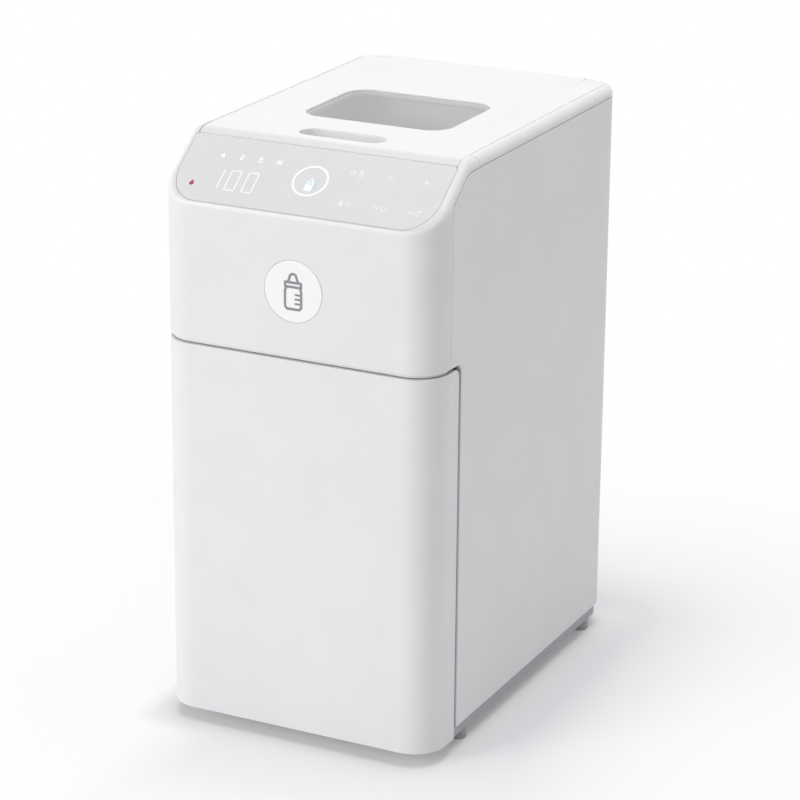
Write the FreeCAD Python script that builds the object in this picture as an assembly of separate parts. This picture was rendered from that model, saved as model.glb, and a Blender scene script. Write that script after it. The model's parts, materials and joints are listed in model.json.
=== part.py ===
import FreeCAD, Part
import math
import os

V = FreeCAD.Vector

# Baby formula maker: a tall countertop machine. Millimetres, +Z up, the front faces -Y. Pieces are
# drawn from the front face at FRONT and a level FOOT_DROP above the worktop. build() then moves
# them, so the exported origin is the middle of the footprint on the worktop.

# ------------------------------------------------------------------ driving dimensions
WIDTH = 170.0            # overall, along X
DEPTH = 250.0            # overall, along Y
HEIGHT = 340.0           # worktop to lid
FRONT = -117.2           # front face in the drawing
FOOT_DROP = 5.4          # the worktop lies this far below the drawing's zero
WALL = 2.6               # outer casing thickness
SEAM = 0.3               # hairline between fixed casing parts
CORNER_R = 19.3          # vertical corners
EDGE_R = 5.5             # round along the edges of the top and of the control deck
LIP_R = 11.0             # round where the control deck turns into the lid
SLANT_DEG = 37.0         # control deck above horizontal
SLANT_Z = 303.4          # height where the deck plane meets the front face
BODY_Z = 3.0             # lowest edge of the door and casing form
PANEL_Z = 8.8            # lower edge of the side panels
DOOR_TOP = 222.1         # upper edge of the door
FASCIA_Z = 224.3         # lower edge of the upper front casing
FASCIA_STEP = 2.0        # depth of the rebate that closes the seam over the door
DOOR_RETURN = 30.7       # depth of the door's wrap round each corner
REVEAL = 3.0             # gap between the door's return and the side panel
DOOR_R = 4.5             # rounded upper rear corner of the door's return
FASCIA_REACH = 20.0      # how far the upper front casing wraps the corner
RAIL_SEAM_Z = 328.4      # seam between side panels and top rails
LID_HALF = 78.55         # half width of the lid
LID_GAP = 0.4            # gap between lid and rails
LID_THICK = 3.0
LID_FRONT = 37.85        # lid's front edge, behind the front face
BARREL_R = 5.0           # rounded rear edge of the lid, round its hinge pin
PIN_R = 1.5              # lid hinge pin
PIVOT_PIN_R = 2.0        # door pivot pins
RUN = 0.08               # radial clearance of pins and shafts that turn
BAY_HALF = 70.0          # bottle bay, inside half width
BAY_REAR = 2.0           # bottle bay, rear wall face
BAY_FLOOR = 16.0
DECK_Z = 224.6           # underside of the deck over the bay
DECK_THICK = 3.0
SPOUT_Y = -46.0          # axis of the mixing funnel
SHAFT_Y = 6.5            # axis of the dosing shaft
POCKET_RING = 29.0       # radius of the dosing wheel's ring of pockets
GEAR_MODULE = 1.0
GEAR_TEETH = 36
PINION_TEETH = 12
PINION_DEG = 40.0        # direction of the motor from the dosing shaft, from +Y towards +X
LID_REAR_HALF = 63.2     # half width of the lid between the caps on the rear corners
CAP_IN = 63.6            # inner face of those caps
CAP_CLEAR_R = 7.45       # the lid's wide part stays this far from its hinge axis
HINGE_PIN_HALF = 68.5
WINDOW_HALF = 45.0       # lid window
WINDOW_FRONT = -27.5
WINDOW_REAR = 44.0
WINDOW_R = 13.0
WINDOW_Z = 333.1         # its underside
WELL_HALF = 57.0         # well under the window
WELL_FRONT = -40.0
WELL_REAR = 53.0
GRIP_HALF = 26.0         # finger slot in the lid
GRIP_Y = -59.5
GRIP_R = 7.5
PANEL_HALF = 79.4        # control panel sheet
PANEL_FRONT = 1.0        # its lower edge, behind the front face
PANEL_THICK = 1.2
PANEL_R = 17.0           # its lower corners
RING_X = 0.3             # start ring on the control panel
RING_V = 24.3            # its distance up the slant
RING_R = 10.6
BADGE_Z = 261.2
BADGE_R = 17.4
TANK_HALF = 72.0
TANK_Y = (60.0, 118.0)
TANK_Z = (62.0, 318.0)
SPIGOT_X = -40.0
FOOT_R = 5.2
FOOT_PLACES = [(-77.5, -66.5), (77.5, -66.5), (-77.5, 108.5), (77.5, 108.5)]     # x, y
REAR_SCREWS = [(-56, 58), (56, 58), (-56, 300), (56, 300)]       # x, z
SOCKET_Z = 32.0          # height of mains inlet and switch
INLET_X = 44.0
SWITCH_X = -46.0
ROCKER_DEG = 8.0         # the rocker rests turned this far
ROCKER_PIN_R = 1.5
NOZZLE_Y = -62.0         # water nozzle, over the front of the funnel
HOSE_X = -64.0           # hose that rises from the heater
FLOAT_X = 50.0
HOSE_R = 3.4
FUNNEL_R = 40.0          # outer radius of the funnel's rim
SIDE_IN = 64.0           # inner edge of the side panels where they wrap the rear corners
REAR_HALF = 63.7         # half width of the rear panel
SIDE_DROP = 5.3          # the side panels' slanted seam lies this far below the deck plane
RAIL_END = -65.0         # seam between the upper front casing and the rails beside the lid
DISPLAY_X = (-58.0, -24.0)
DISPLAY_V = (9.0, 27.0)  # up the slant
BADGE_DEPTH = 0.8
WELL_Z = 306.0           # lower end of the well
WELL_R = 12.0
SHELF_Y = (-77.0, -46.0)     # shelf under the finger slot
SHELF_Z = 319.0
FRAME_X = (79.4, 81.9)   # inner frame plates
FRAME_Y = (-80.0, 112.0)
TRAY_HALF = 50.0         # drip tray
TRAY_Y = (-92.0, -8.0)
GRILLE_SLOT = 4.6        # width of the drip grille's slots
RAIL_X = 30.0            # rails on the bay's rear wall
HOPPER_HALF = 55.0
HOPPER_Y = (-38.0, 51.0)
HOPPER_Z = (249.0, 308.0)
CUP_R = 43.0             # dosing housing
WHEEL_R = 38.0
WHEEL_Z = (239.3, 247.3)
HOUSING_Z = (237.0, 248.8)
SHAFT_R = 4.0
HEATER_X = (-72.0, -32.0)
HEATER_Y = (14.0, 50.0)
HEATER_Z = (40.0, 130.0)
PUMP_Z = 24.0            # axis of the pump
BOARD_X = 60.0           # power board
SEAM_R = 0.5             # rounding of the casing's edges along every seam
LIP_SEAM_R = 0.6         # the same on the lid and the door

# ------------------------------------------------------------------ derived values
HALF = WIDTH / 2
REAR = FRONT + DEPTH
TOP = HEIGHT - FOOT_DROP
SLANT = math.radians(SLANT_DEG)
SLANT_END = FRONT + (TOP - SLANT_Z) / math.tan(SLANT)     # where the deck plane meets the top
DOOR_BACK = FRONT + DOOR_RETURN
PANEL_FACE = DOOR_BACK + REVEAL                              # front edge of the side panels
PIVOT_X = -HALF + 11.0
PIVOT_Y = FRONT + 13.2
HINGE_Y = REAR - BARREL_R
HINGE_Z = TOP - BARREL_R
CAP_Y = HINGE_Y - BARREL_R - 0.1                             # front face of the rear corner caps
RAIL_IN = LID_HALF + LID_GAP
DECK_TOP = DECK_Z + DECK_THICK
INSIDE = HALF - WALL - 0.2                                   # inner parts reach this far sideways
TOP_PLATE_Z = (326.0, 328.4)
SWING_R = math.hypot(HALF + PIVOT_X, DOOR_BACK - PIVOT_Y) + 0.5
TONGUE_Z = (5.5, 8.1)
TANK_MID = (TANK_Y[0] + TANK_Y[1]) / 2
ROCKER_Y = REAR - 4.0                                        # axis of the rocker
DROP_Y = SHAFT_Y - POCKET_RING
CENTRES = GEAR_MODULE * (GEAR_TEETH + PINION_TEETH) / 2
MOTOR_X = CENTRES * math.sin(math.radians(PINION_DEG))
MOTOR_Y = SHAFT_Y + CENTRES * math.cos(math.radians(PINION_DEG))

os.makedirs("parts", exist_ok=True)


# ------------------------------------------------------------------ small helpers
def box(x0, x1, y0, y1, z0, z1):
    return Part.makeBox(x1 - x0, y1 - y0, z1 - z0, V(x0, y0, z0))


def mirror_box(x0, x1, y0, y1, z0, z1):
    """The same box on both sides of the middle plane."""
    return box(x0, x1, y0, y1, z0, z1).fuse(box(-x1, -x0, y0, y1, z0, z1))


def post(radius, x, y, z0, z1):
    return Part.makeCylinder(radius, z1 - z0, V(x, y, z0))


def rod(radius, start, end):
    direction = end - start
    return Part.makeCylinder(radius, direction.Length, start, direction)


def cone(r0, r1, x, y, z0, z1):
    return Part.makeCone(r0, r1, z1 - z0, V(x, y, z0))


def join(first, *others):
    return first.fuse(list(others)).removeSplitter()


def rounded_wire(points, radii):
    """Closed wire through coplanar points, each corner rounded to its own radius."""
    edges = []
    spans = []
    for i, corner in enumerate(points):
        back = (points[i - 1] - corner).normalize()
        ahead = (points[(i + 1) % len(points)] - corner).normalize()
        if radii[i] <= 0:
            spans.append((corner, corner))
            continue
        half = back.getAngle(ahead) / 2
        reach = radii[i] / math.tan(half)
        middle = corner + (back + ahead).normalize() * (radii[i] / math.sin(half) - radii[i])
        start = corner + back * reach
        end = corner + ahead * reach
        edges.append(Part.Arc(start, middle, end).toShape())
        spans.append((start, end))
    for i, span in enumerate(spans):
        following = spans[(i + 1) % len(spans)][0]
        if (following - span[1]).Length > 1e-6:
            edges.append(Part.LineSegment(span[1], following).toShape())
    return Part.Wire(Part.__sortEdges__(edges))


def plan_block(x0, x1, y0, y1, z0, z1, front_r=0.0, rear_r=0.0):
    """Upright block with rounded vertical corners at its front and rear."""
    corners = [V(x0, y0, z0), V(x1, y0, z0), V(x1, y1, z0), V(x0, y1, z0)]
    face = Part.Face(rounded_wire(corners, [front_r, front_r, rear_r, rear_r]))
    return face.extrude(V(0, 0, z1 - z0))


def side_prism(outline, x0, x1, radii=None):
    """Outline of (y, z) points carried across from x0 to x1."""
    points = [V(x0, y, z) for y, z in outline]
    face = Part.Face(rounded_wire(points, radii or [0] * len(points)))
    return face.extrude(V(x1 - x0, 0, 0))


def on_slant(shape, x=0.0, v=0.0, depth=0.0):
    """Lay a shape, modelled flat, on the slanted deck: v runs up the slope, depth goes inwards."""
    placed = shape.copy()
    placed.rotate(V(0, 0, 0), V(1, 0, 0), SLANT_DEG)
    placed.translate(V(x, FRONT + v * math.cos(SLANT) + depth * math.sin(SLANT),
                       SLANT_Z + v * math.sin(SLANT) - depth * math.cos(SLANT)))
    return placed


def slant_z(y, depth=0.0):
    """Height of the deck plane, moved inwards by depth, above a point of the Y axis."""
    return SLANT_Z + (y - FRONT) * math.tan(SLANT) - depth / math.cos(SLANT)


def above_slant(depth=0.0):
    low, high = FRONT - 40, FRONT + 120
    outline = [(low, slant_z(low, depth)), (high, slant_z(high, depth)), (high, 600), (low, 600)]
    return side_prism(outline, -HALF - 20, HALF + 20)


def export(name, shape):
    shape.exportStep("parts/" + name + ".step")
    print(name, len(shape.Solids), round(shape.Volume / 1000, 2), shape.isValid())


# ------------------------------------------------------------------ the outer form
def round_edges(solid, radius, wanted):
    edges = [edge for edge in solid.Edges if wanted(edge)]
    return solid.makeFillet(radius, edges)


def outer_form(inset=0.0):
    """The whole casing as one closed form, moved inwards by inset on every side but the base."""
    half = HALF - inset
    front = FRONT + inset
    rear = REAR - inset
    top = TOP - inset
    corner = CORNER_R - inset
    solid = plan_block(-half, half, front, rear, BODY_Z, top, corner, corner)
    solid = solid.cut(above_slant(inset)).removeSplitter()
    fold = SLANT_END + inset * (math.tan(SLANT / 2))

    def is_lip(edge):
        middle = edge.CenterOfMass
        return abs(middle.x) < 1 and abs(middle.y - fold) < 0.5 and abs(middle.z - top) < 0.1

    def is_deck_edge(edge):
        ends = [vertex.Point for vertex in edge.Vertexes]
        upright = max(math.hypot(p.x - ends[0].x, p.y - ends[0].y) for p in ends) < 1e-3
        middle = edge.valueAt((edge.FirstParameter + edge.LastParameter) / 2)
        outside = abs(middle.x) > half - corner or min(abs(middle.y - front), abs(middle.y - rear)) < 0.01
        return outside and not upright and middle.z > SLANT_Z - 20

    solid = round_edges(solid, LIP_R - inset, is_lip)
    if EDGE_R - inset > 0.3:
        solid = round_edges(solid, EDGE_R - inset, is_deck_edge)
    return solid


def upper_front_zone(gap=0.0):
    """Everything in front of the seam between the upper front casing and the side panels."""
    wrap = FRONT + FASCIA_REACH + gap
    drop = SIDE_DROP + gap / math.cos(SLANT)
    bend = slant_z(wrap) - drop
    high = RAIL_SEAM_Z - gap
    top_y = FRONT + (high + drop - SLANT_Z) / math.tan(SLANT)
    end = RAIL_END + gap
    low = FASCIA_Z - gap
    outline = [(FRONT - 20, low), (wrap, low), (wrap, bend), (top_y, high), (end, high),
               (end, TOP + 10), (FRONT - 20, TOP + 10)]
    return side_prism(outline, -HALF - 5, HALF + 5, [0, 0, 8, 11, 0, 0, 0])


def door_zone(back, top, radius):
    """Everything in front of a line behind the door and below a line above it."""
    outline = [(FRONT - 20, -5), (back, -5), (back, top), (FRONT - 20, top)]
    return side_prism(outline, -HALF - 5, HALF + 5, [0, 0, radius, 0])


def seam_edges(piece, form):
    """Edges of a casing piece that lie in the outer form's surface and aren't edges of the form."""
    skin = form.Shells[0]
    folds = Part.makeCompound(form.Edges)
    found = []
    for edge in piece.Edges:
        if edge.Length < 0.05:
            continue
        first, last = edge.FirstParameter, edge.LastParameter
        steps = (0.02, 0.25, 0.5, 0.75, 0.98)
        places = [Part.Vertex(edge.valueAt(first + (last - first) * step)) for step in steps]
        in_skin = max(place.distToShape(skin)[0] for place in places) < 1e-3
        on_fold = max(place.distToShape(folds)[0] for place in places) < 1e-3
        if in_skin and not on_fold:
            found.append(edge)
    return found


def soften(piece, form, radius):
    """Round a casing piece along its seams, as moulded parts are."""
    return piece.makeFillet(radius, seam_edges(piece, form))


# ------------------------------------------------------------------ casing
def side_panel(shell, form, side):
    high = RAIL_SEAM_Z - SEAM / 2
    panel = shell.common(box(SIDE_IN, HALF + 1, PANEL_FACE - 20, REAR + 1, PANEL_Z, high))
    panel = panel.cut([upper_front_zone(SEAM), door_zone(PANEL_FACE, FASCIA_Z - 0.01, DOOR_R + 1)])
    panel = soften(panel, form, SEAM_R)
    return panel if side > 0 else panel.mirror(V(0, 0, 0), V(1, 0, 0))


def upper_front(shell, form):
    """Front casing above the door. It carries the badge, the control deck and the lid's front."""
    shape = shell.common(upper_front_zone())
    step = door_zone(FRONT + FASCIA_REACH, DECK_Z - 0.1, 0).cut(door_zone(0, DOOR_TOP + 0.5, 0))
    step = outer_form(FASCIA_STEP).cut(outer_form(FASCIA_STEP + 1.2)).common(step)
    badge = rod(BADGE_R + 0.12, V(0, FRONT - 1, BADGE_Z), V(0, FRONT + BADGE_DEPTH, BADGE_Z))
    shape = join(soften(shape.cut(badge), form, SEAM_R), step)
    lid_space = box(-RAIL_IN, RAIL_IN, FRONT + LID_FRONT - SEAM, 0, SLANT_Z, TOP + 5)
    x, v, gap = DISPLAY_X, DISPLAY_V, 0.4
    display = on_slant(box(x[0] - gap, x[1] + gap, v[0] - gap, v[1] + gap, -8, 2))
    ring = on_slant(post(RING_R + 1.6, 0, 0, -8, 2), RING_X, RING_V)
    return shape.cut([lid_space, panel_sheet(0.2), display, ring]).removeSplitter()


def panel_sheet(gap=0.0):
    """The sheet let into the slanted deck. A gap makes the recess that it sits in."""
    block = plan_block(-PANEL_HALF - gap, PANEL_HALF + gap, FRONT + PANEL_FRONT - gap,
                       FRONT + LID_FRONT - SEAM - 0.2 + 3 * gap, SLANT_Z - 20, TOP, PANEL_R, 2.0)
    return block.common(above_slant(PANEL_THICK)).cut(above_slant(-0.5 if gap else 0.0))


def rear_panel(shell, form):
    """Rear cover with air slots, two cut-outs for the mains fittings and four screw holes."""
    high = HINGE_Z - BARREL_R - SEAM
    panel = shell.common(box(-REAR_HALF, REAR_HALF, REAR - 6, REAR + 1, PANEL_Z, high))
    slots = [slot_block_rear(z) for z in range(70, 130, 8)]
    z = SOCKET_Z
    plates = [box(INLET_X - 14.2, INLET_X + 14.2, REAR - 10, REAR + 1, z - 10.2, z + 10.2),
              box(SWITCH_X - 12.2, SWITCH_X + 12.2, REAR - 10, REAR + 1, z - 8.2, z + 8.2)]
    holes = []
    for x, z in REAR_SCREWS:
        holes.append(rod(1.6, V(x, REAR - 10, z), V(x, REAR + 1, z)))
        holes.append(rod(3.4, V(x, REAR - 1.2, z), V(x, REAR + 1, z)))
    panel = soften(panel.cut(slots + plates), form, SEAM_R)
    return panel.cut(holes).removeSplitter()


def slot_block_rear(z):
    """Block through the rear panel with round ends, for one air slot."""
    half, radius = 30.0, 1.5
    block = box(-half, half, REAR - 10, REAR + 1, z - radius, z + radius)
    ends = [rod(radius, V(x, REAR - 10, z), V(x, REAR + 1, z)) for x in (-half, half)]
    return join(block, *ends)


def plinth():
    """Base tray: a band set in under the side panels, with a tongue that carries the door pivot."""
    band = rear_round_block(1.8, PANEL_FACE, 2.0, PANEL_Z - 0.3)
    upper = rear_round_block(3.0, PANEL_FACE, PANEL_Z - 0.3, 20.0)
    hollow = rear_round_block(5.8, PANEL_FACE + 3.2, 5.0, 30)
    front_cut = box(-83, 83, PANEL_FACE - 1, PANEL_FACE + 3.2, 9.0, 30)
    tray = join(band, upper).cut([hollow, front_cut])
    ribs = [box(-79.5, 79.5, y, y + 2.5, 4.5, 13.9) for y in (-60.0, -30.0, 0.0)]
    z0, z1 = TONGUE_Z
    tongue = outer_form(WALL + 2.6).common(box(-52, 79, FRONT, PANEL_FACE + 0.1, z0, z1))
    arm = join(box(PIVOT_X, -51, PIVOT_Y - 4, PIVOT_Y + 4, z0, z1),
               post(4.0, PIVOT_X, PIVOT_Y, z0, z1))
    shape = join(tray.cut(door_swing()), tongue, arm, *ribs)
    pockets = [post(FOOT_R - 1.5, x, y, 1, 4.0) for x, y in FOOT_PLACES]
    return shape.cut(pockets + [post(PIVOT_PIN_R, PIVOT_X, PIVOT_Y, z0 - 1, z1 + 1)])


def rear_round_block(inset, front, z0, z1):
    """Block that follows the casing's sides and rear corners, moved inwards by inset."""
    return plan_block(-HALF + inset, HALF - inset, front, REAR - inset, z0, z1, 0, CORNER_R - inset)


def door_swing():
    """Round space that the door's hinge side sweeps behind the corner."""
    return post(SWING_R, PIVOT_X, PIVOT_Y, 0, DECK_Z - 0.9).common(box(-82.35, 0, -130, 0, 0, 240))


def feet():
    shapes = []
    for x, y in FOOT_PLACES:
        low = -FOOT_DROP
        shapes.append(join(post(FOOT_R, x, y, low + 0.5, 2.0), post(FOOT_R - 1.5, x, y, 1.9, 4.0),
                           cone(FOOT_R - 0.5, FOOT_R, x, y, low, low + 0.5)))
    return Part.makeCompound(shapes)


def inner_frame(side):
    """Upright plate behind each side panel that joins plinth, deck and top frame."""
    plate = box(*FRAME_X, *FRAME_Y, 20.2, TOP_PLATE_Z[0] - 0.1)
    plate = plate.cut(upper_front_zone(3.0))
    holes = [rod(14, V(70, y, z), V(90, y, z)) for z in range(45, 220, 34)
             for y in range(-56, 100, 36)]
    shelf_space = box(79, 83, RAIL_END - 1, SHELF_Y[1] + 1, SHELF_Z - 0.3, 330)
    plate = plate.cut(holes + [shelf_space])
    return plate if side > 0 else plate.mirror(V(0, 0, 0), V(1, 0, 0))


def top_frame(form):
    """Rails beside the lid that end in caps on the rear corners, and the plate, well and shelf
    under the lid."""
    start, low = RAIL_END + SEAM / 2, RAIL_SEAM_Z + SEAM / 2
    rails = form.common(mirror_box(RAIL_IN, HALF + 1, start, CAP_Y + 1, low, TOP + 1))
    caps = form.common(mirror_box(CAP_IN, HALF + 1, CAP_Y, REAR + 1, low, TOP + 1))
    rails = join(soften(rails, form, SEAM_R - 0.1), soften(caps, form, SEAM_R - 0.1))
    y0, y1 = SHELF_Y
    plate = box(-INSIDE, INSIDE, y1 - 2, CAP_Y - 1.4, TOP_PLATE_Z[0], low)
    plate = plate.common(rear_round_block(2.8, -60, 320, 340))
    above = box(-RAIL_IN, RAIL_IN, -100, REAR, TOP_PLATE_Z[1], TOP)
    well = well_block(2.0, WELL_Z, TOP_PLATE_Z[0] + 0.1)
    half = FRAME_X[0] - 0.4
    shelf = join(box(-half, half, y0, y1, SHELF_Z, SHELF_Z + 2),
                 box(-half, half, y0, y0 + 2, SHELF_Z, 327),
                 box(-half, half, y1 - 2, y1, SHELF_Z, TOP_PLATE_Z[1]),
                 mirror_box(76.8, INSIDE, start, y1, SHELF_Z, low))
    lugs = mirror_box(CAP_IN, HINGE_PIN_HALF + 2.5, HINGE_Y - 4, REAR, 322, low + 0.1)
    lugs = lugs.common(rear_round_block(2.8, 100, 320, 340))
    shape = join(rails, plate.cut(above), well, shelf, lugs)
    mouth = tank_block(-1.0, 300, 340)
    return shape.cut([well_block(0.0, WELL_Z - 1, 340), mouth, hinge_rod(PIN_R, HINGE_PIN_HALF + 0.2)])


def hinge_rod(radius, end, start=None):
    """Rod along the lid's hinge axis, or one on each side when it starts away from the middle."""
    spans = [(-end, end)] if start is None else [(-end, -start), (start, end)]
    rods = [rod(radius, V(x0, HINGE_Y, HINGE_Z), V(x1, HINGE_Y, HINGE_Z)) for x0, x1 in spans]
    return rods[0] if start is None else Part.makeCompound(rods)


def well_block(grow, z0, z1):
    return plan_block(-WELL_HALF - grow, WELL_HALF + grow, WELL_FRONT - grow, WELL_REAR + grow,
                      z0, z1, WELL_R + grow, WELL_R + grow)


# ------------------------------------------------------------------ lid
def lid(form, inner):
    """Plate with a rolled front lip, a window step, a finger pocket and a hinge barrel."""
    skin = form.cut(inner)
    rear = HINGE_Y - BARREL_R + 0.5
    plate = skin.common(box(-LID_HALF, LID_HALF, FRONT + LID_FRONT, rear, SLANT_Z, TOP + 1))
    knuckle = skin.common(box(-LID_REAR_HALF, LID_REAR_HALF, rear - 8, HINGE_Y, SLANT_Z, TOP + 1))
    pocket = slot_block(GRIP_HALF + 1.4, GRIP_R + 1.4, 326.4, TOP - 1)
    ribs = mirror_box(74.0, 75.5, -40, 100, 329.6, TOP - 1)
    rim = well_block(8.0, 330.4, TOP - 1).cut(well_block(6.8, 330, TOP - LID_THICK))
    shape = join(plate, pocket, ribs, rim)
    opening = window_block(0.0, WINDOW_Z, TOP + 1)
    step = window_block(-1.6, 320.0, TOP + 1)
    grip = slot_block(GRIP_HALF, GRIP_R, 328.0, TOP + 1)
    shape = soften(shape.cut([opening, step, grip]).removeSplitter(), form, LIP_SEAM_R)
    shape = shape.cut(hinge_rod(CAP_CLEAR_R, HALF, LID_REAR_HALF))
    return join(shape, knuckle, hinge_rod(BARREL_R, LID_REAR_HALF)).cut(hinge_rod(PIN_R + RUN, HALF))


def window_block(grow, z0, z1):
    return plan_block(-WINDOW_HALF - grow, WINDOW_HALF + grow, WINDOW_FRONT - grow,
                      WINDOW_REAR + grow, z0, z1, WINDOW_R + grow, WINDOW_R + grow)


def slot_block(half, radius, z0, z1):
    """Upright block with fully round ends, at the finger slot."""
    block = box(-half + radius, half - radius, GRIP_Y - radius, GRIP_Y + radius, z0, z1)
    return join(block, post(radius, -half + radius, GRIP_Y, z0, z1),
                post(radius, half - radius, GRIP_Y, z0, z1))


def lid_seal():
    return well_block(6.6, 328.8, TOP - LID_THICK).cut(well_block(3.0, 320, TOP))


def lid_pin():
    return hinge_rod(PIN_R, HINGE_PIN_HALF)


# ------------------------------------------------------------------ control deck
def badge_disc():
    disc = rod(BADGE_R, V(0, FRONT, BADGE_Z), V(0, FRONT + BADGE_DEPTH, BADGE_Z))
    return round_edges(disc, 0.3, lambda edge: abs(edge.CenterOfMass.y - FRONT) < 0.01)


def display_module():
    return on_slant(box(*DISPLAY_X, *DISPLAY_V, -5.8, -PANEL_THICK - 0.1))


def ring_guide():
    """Light guide under the start mark: a raised ring on a disc."""
    disc = post(RING_R + 1.4, 0, 0, -5.8, -2.6)
    ring = post(RING_R + 1.0, 0, 0, -2.7, -1.3).cut(post(RING_R - 1.0, 0, 0, -4, 0))
    return on_slant(join(disc, ring), RING_X, RING_V)


def control_board():
    board = box(-70, 70, 5, 38, -7.6, -6.0)
    parts = [box(30, 44, 12, 26, -9.2, -7.6), box(-20, -8, 8, 20, -9.6, -7.6),
             box(50, 62, 30, 36, -12, -7.6)]
    return on_slant(join(board, *parts))


# ------------------------------------------------------------------ door
def door_shell(shell, form):
    zone = door_zone(DOOR_BACK, DOOR_TOP, DOOR_R).common(box(-90, 90, -130, 0, BODY_Z, 240))
    return soften(shell.common(zone), form, LIP_SEAM_R)


def door_liner():
    """Second skin inside the door, with a sole, lips, pivot bosses and a strike tab."""
    zone = door_zone(DOOR_BACK - 1.0, DOOR_TOP - 1.0, DOOR_R).common(box(-90, 90, -130, 0, 3.2, 240))
    core = outer_form(WALL).common(zone)
    skin = core.cut(outer_form(WALL + 2.0))
    sole = core.common(box(-90, 90, -130, 0, 3.2, TONGUE_Z[0] - 0.5))
    lip = core.cut(outer_form(WALL + 7.0))
    low, high = TONGUE_Z[1] + 0.5, DOOR_TOP - 1.4
    lips = lip.common(join(box(-90, 90, -130, 0, low, low + 2), box(-90, 90, -130, 0, high - 2, high)))
    bosses = []
    for z0, z1 in ((low, 24.0), (205.0, high)):
        bosses.append(core.common(box(-90, PIVOT_X + 5.5, -130, PIVOT_Y + 5.5, z0, z1)))
    tab = box(70, 81.5, DOOR_BACK - 4.5, DOOR_BACK - 3.0, 100, 130)
    shape = join(skin, sole, lips, tab, *bosses)
    bores = [post(PIVOT_PIN_R + RUN, PIVOT_X, PIVOT_Y, 0, 18.5),
             post(PIVOT_PIN_R + RUN, PIVOT_X, PIVOT_Y, 208.5, 240)]
    return shape.cut(bores).removeSplitter()


def door_pins():
    return Part.makeCompound([post(PIVOT_PIN_R, PIVOT_X, PIVOT_Y, TONGUE_Z[0], 18.0),
                              post(PIVOT_PIN_R, PIVOT_X, PIVOT_Y, 209.0, DECK_TOP)])


def door_strike():
    return box(71, 79, DOOR_BACK - 3.0, DOOR_BACK - 2.0, 104, 126)


def door_magnet():
    return box(72, 78, DOOR_BACK - 1.6, PANEL_FACE + 1.0, 106, 124)


def bay_bezel():
    """Grey frame round the mouth of the bay, with a thin rim that shows in the door's reveal."""
    front = PANEL_FACE + 1.0
    plate = box(-INSIDE, INSIDE, front, front + 2, 9.2, DECK_Z - 0.2)
    mouth = box(-BAY_HALF, BAY_HALF, front - 1, front + 3, BAY_FLOOR, 240)
    rim = door_zone(PANEL_FACE, FASCIA_Z - 0.01, DOOR_R + 1)
    rim = rim.cut(door_zone(PANEL_FACE - 1.2, FASCIA_Z - 0.55, DOOR_R + 0.5))
    rim = rim.common(mirror_box(82.4, HALF - 0.6, -91, PANEL_FACE + 1, PANEL_Z + 0.2, 240))
    tie = mirror_box(81.4, HALF - 0.6, PANEL_FACE - 1.2, PANEL_FACE, PANEL_Z + 0.2, 217)
    link = mirror_box(81.4, INSIDE, PANEL_FACE - 1.2, front + 0.1, PANEL_Z + 0.4, 217)
    pad = box(71.2, 80.1, DOOR_BACK - 1.2, front + 0.1, 102, 128)
    shape = join(plate.cut(mouth), rim, tie, link, pad)
    return shape.cut([door_swing(), door_magnet()])


# ------------------------------------------------------------------ bottle bay
def bay_liner():
    """Open-fronted box for the bottle, with two rails on its rear wall for the tray."""
    front = PANEL_FACE + 3.0
    outer = box(-BAY_HALF - 2, BAY_HALF + 2, front, BAY_REAR + 2, BAY_FLOOR - 2, DECK_Z)
    inner = plan_block(-BAY_HALF, BAY_HALF, front - 1, BAY_REAR, BAY_FLOOR, 240, 0, 8)
    shape = outer.cut(inner)
    rails = [box(x - 2, x + 2, BAY_REAR - 4, BAY_REAR + 0.5, 30, 200) for x in (-RAIL_X, RAIL_X)]
    return join(shape, *rails)


def drip_tray():
    """Shallow tray with a bracket that hooks round the rails, so it can stand at any height."""
    z0 = BAY_FLOOR + 0.4
    shape = tray_block(0.0, z0, z0 + 14.6).cut(tray_block(2.0, z0 + 2, z0 + 20))
    rim = [edge for edge in shape.Edges if abs(edge.CenterOfMass.z - z0 - 14.6) < 0.01]
    shape = shape.makeFillet(0.7, rim)
    foot = [edge for edge in shape.Edges if abs(edge.CenterOfMass.z - z0) < 0.01]
    shape = shape.makeFillet(1.5, foot)
    ledge = tray_block(1.0, z0 + 9.6, z0 + 11.4).cut(tray_block(5.0, z0, z0 + 20))
    bracket = box(-40, 40, TRAY_Y[1] - 1.5, BAY_REAR - 0.3, z0 + 4, 46)
    notches = [box(x - 2.35, x + 2.35, BAY_REAR - 4.35, BAY_REAR, 0, 60) for x in (-RAIL_X, RAIL_X)]
    relief = box(-26, 26, -7.5, BAY_REAR, 0, 60)
    return join(shape, ledge, bracket.cut(notches + [relief]))


def tray_block(inset, z0, z1):
    """Block of the tray's outline: round corners in front, small ones at the rear."""
    y0, y1 = TRAY_Y
    return plan_block(-TRAY_HALF + inset, TRAY_HALF - inset, y0 + inset, y1 - inset, z0, z1,
                      18.0 - inset, 5.0 - inset * 0.9)


def drip_grille():
    z0 = BAY_FLOOR + 0.4 + 11.4
    plate = tray_block(2.3, z0, z0 + 2.6)
    slots = []
    r = GRILLE_SLOT / 2
    for i in range(9):
        y = -82 + i * 8.0
        reach = 34 if i in (0, 8) else 40
        slots.append(join(box(-reach, reach, y - r, y + r, z0 - 1, z0 + 4),
                          post(r, -reach, y, z0 - 1, z0 + 4), post(r, reach, y, z0 - 1, z0 + 4)))
    return plate.cut(slots)


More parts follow.
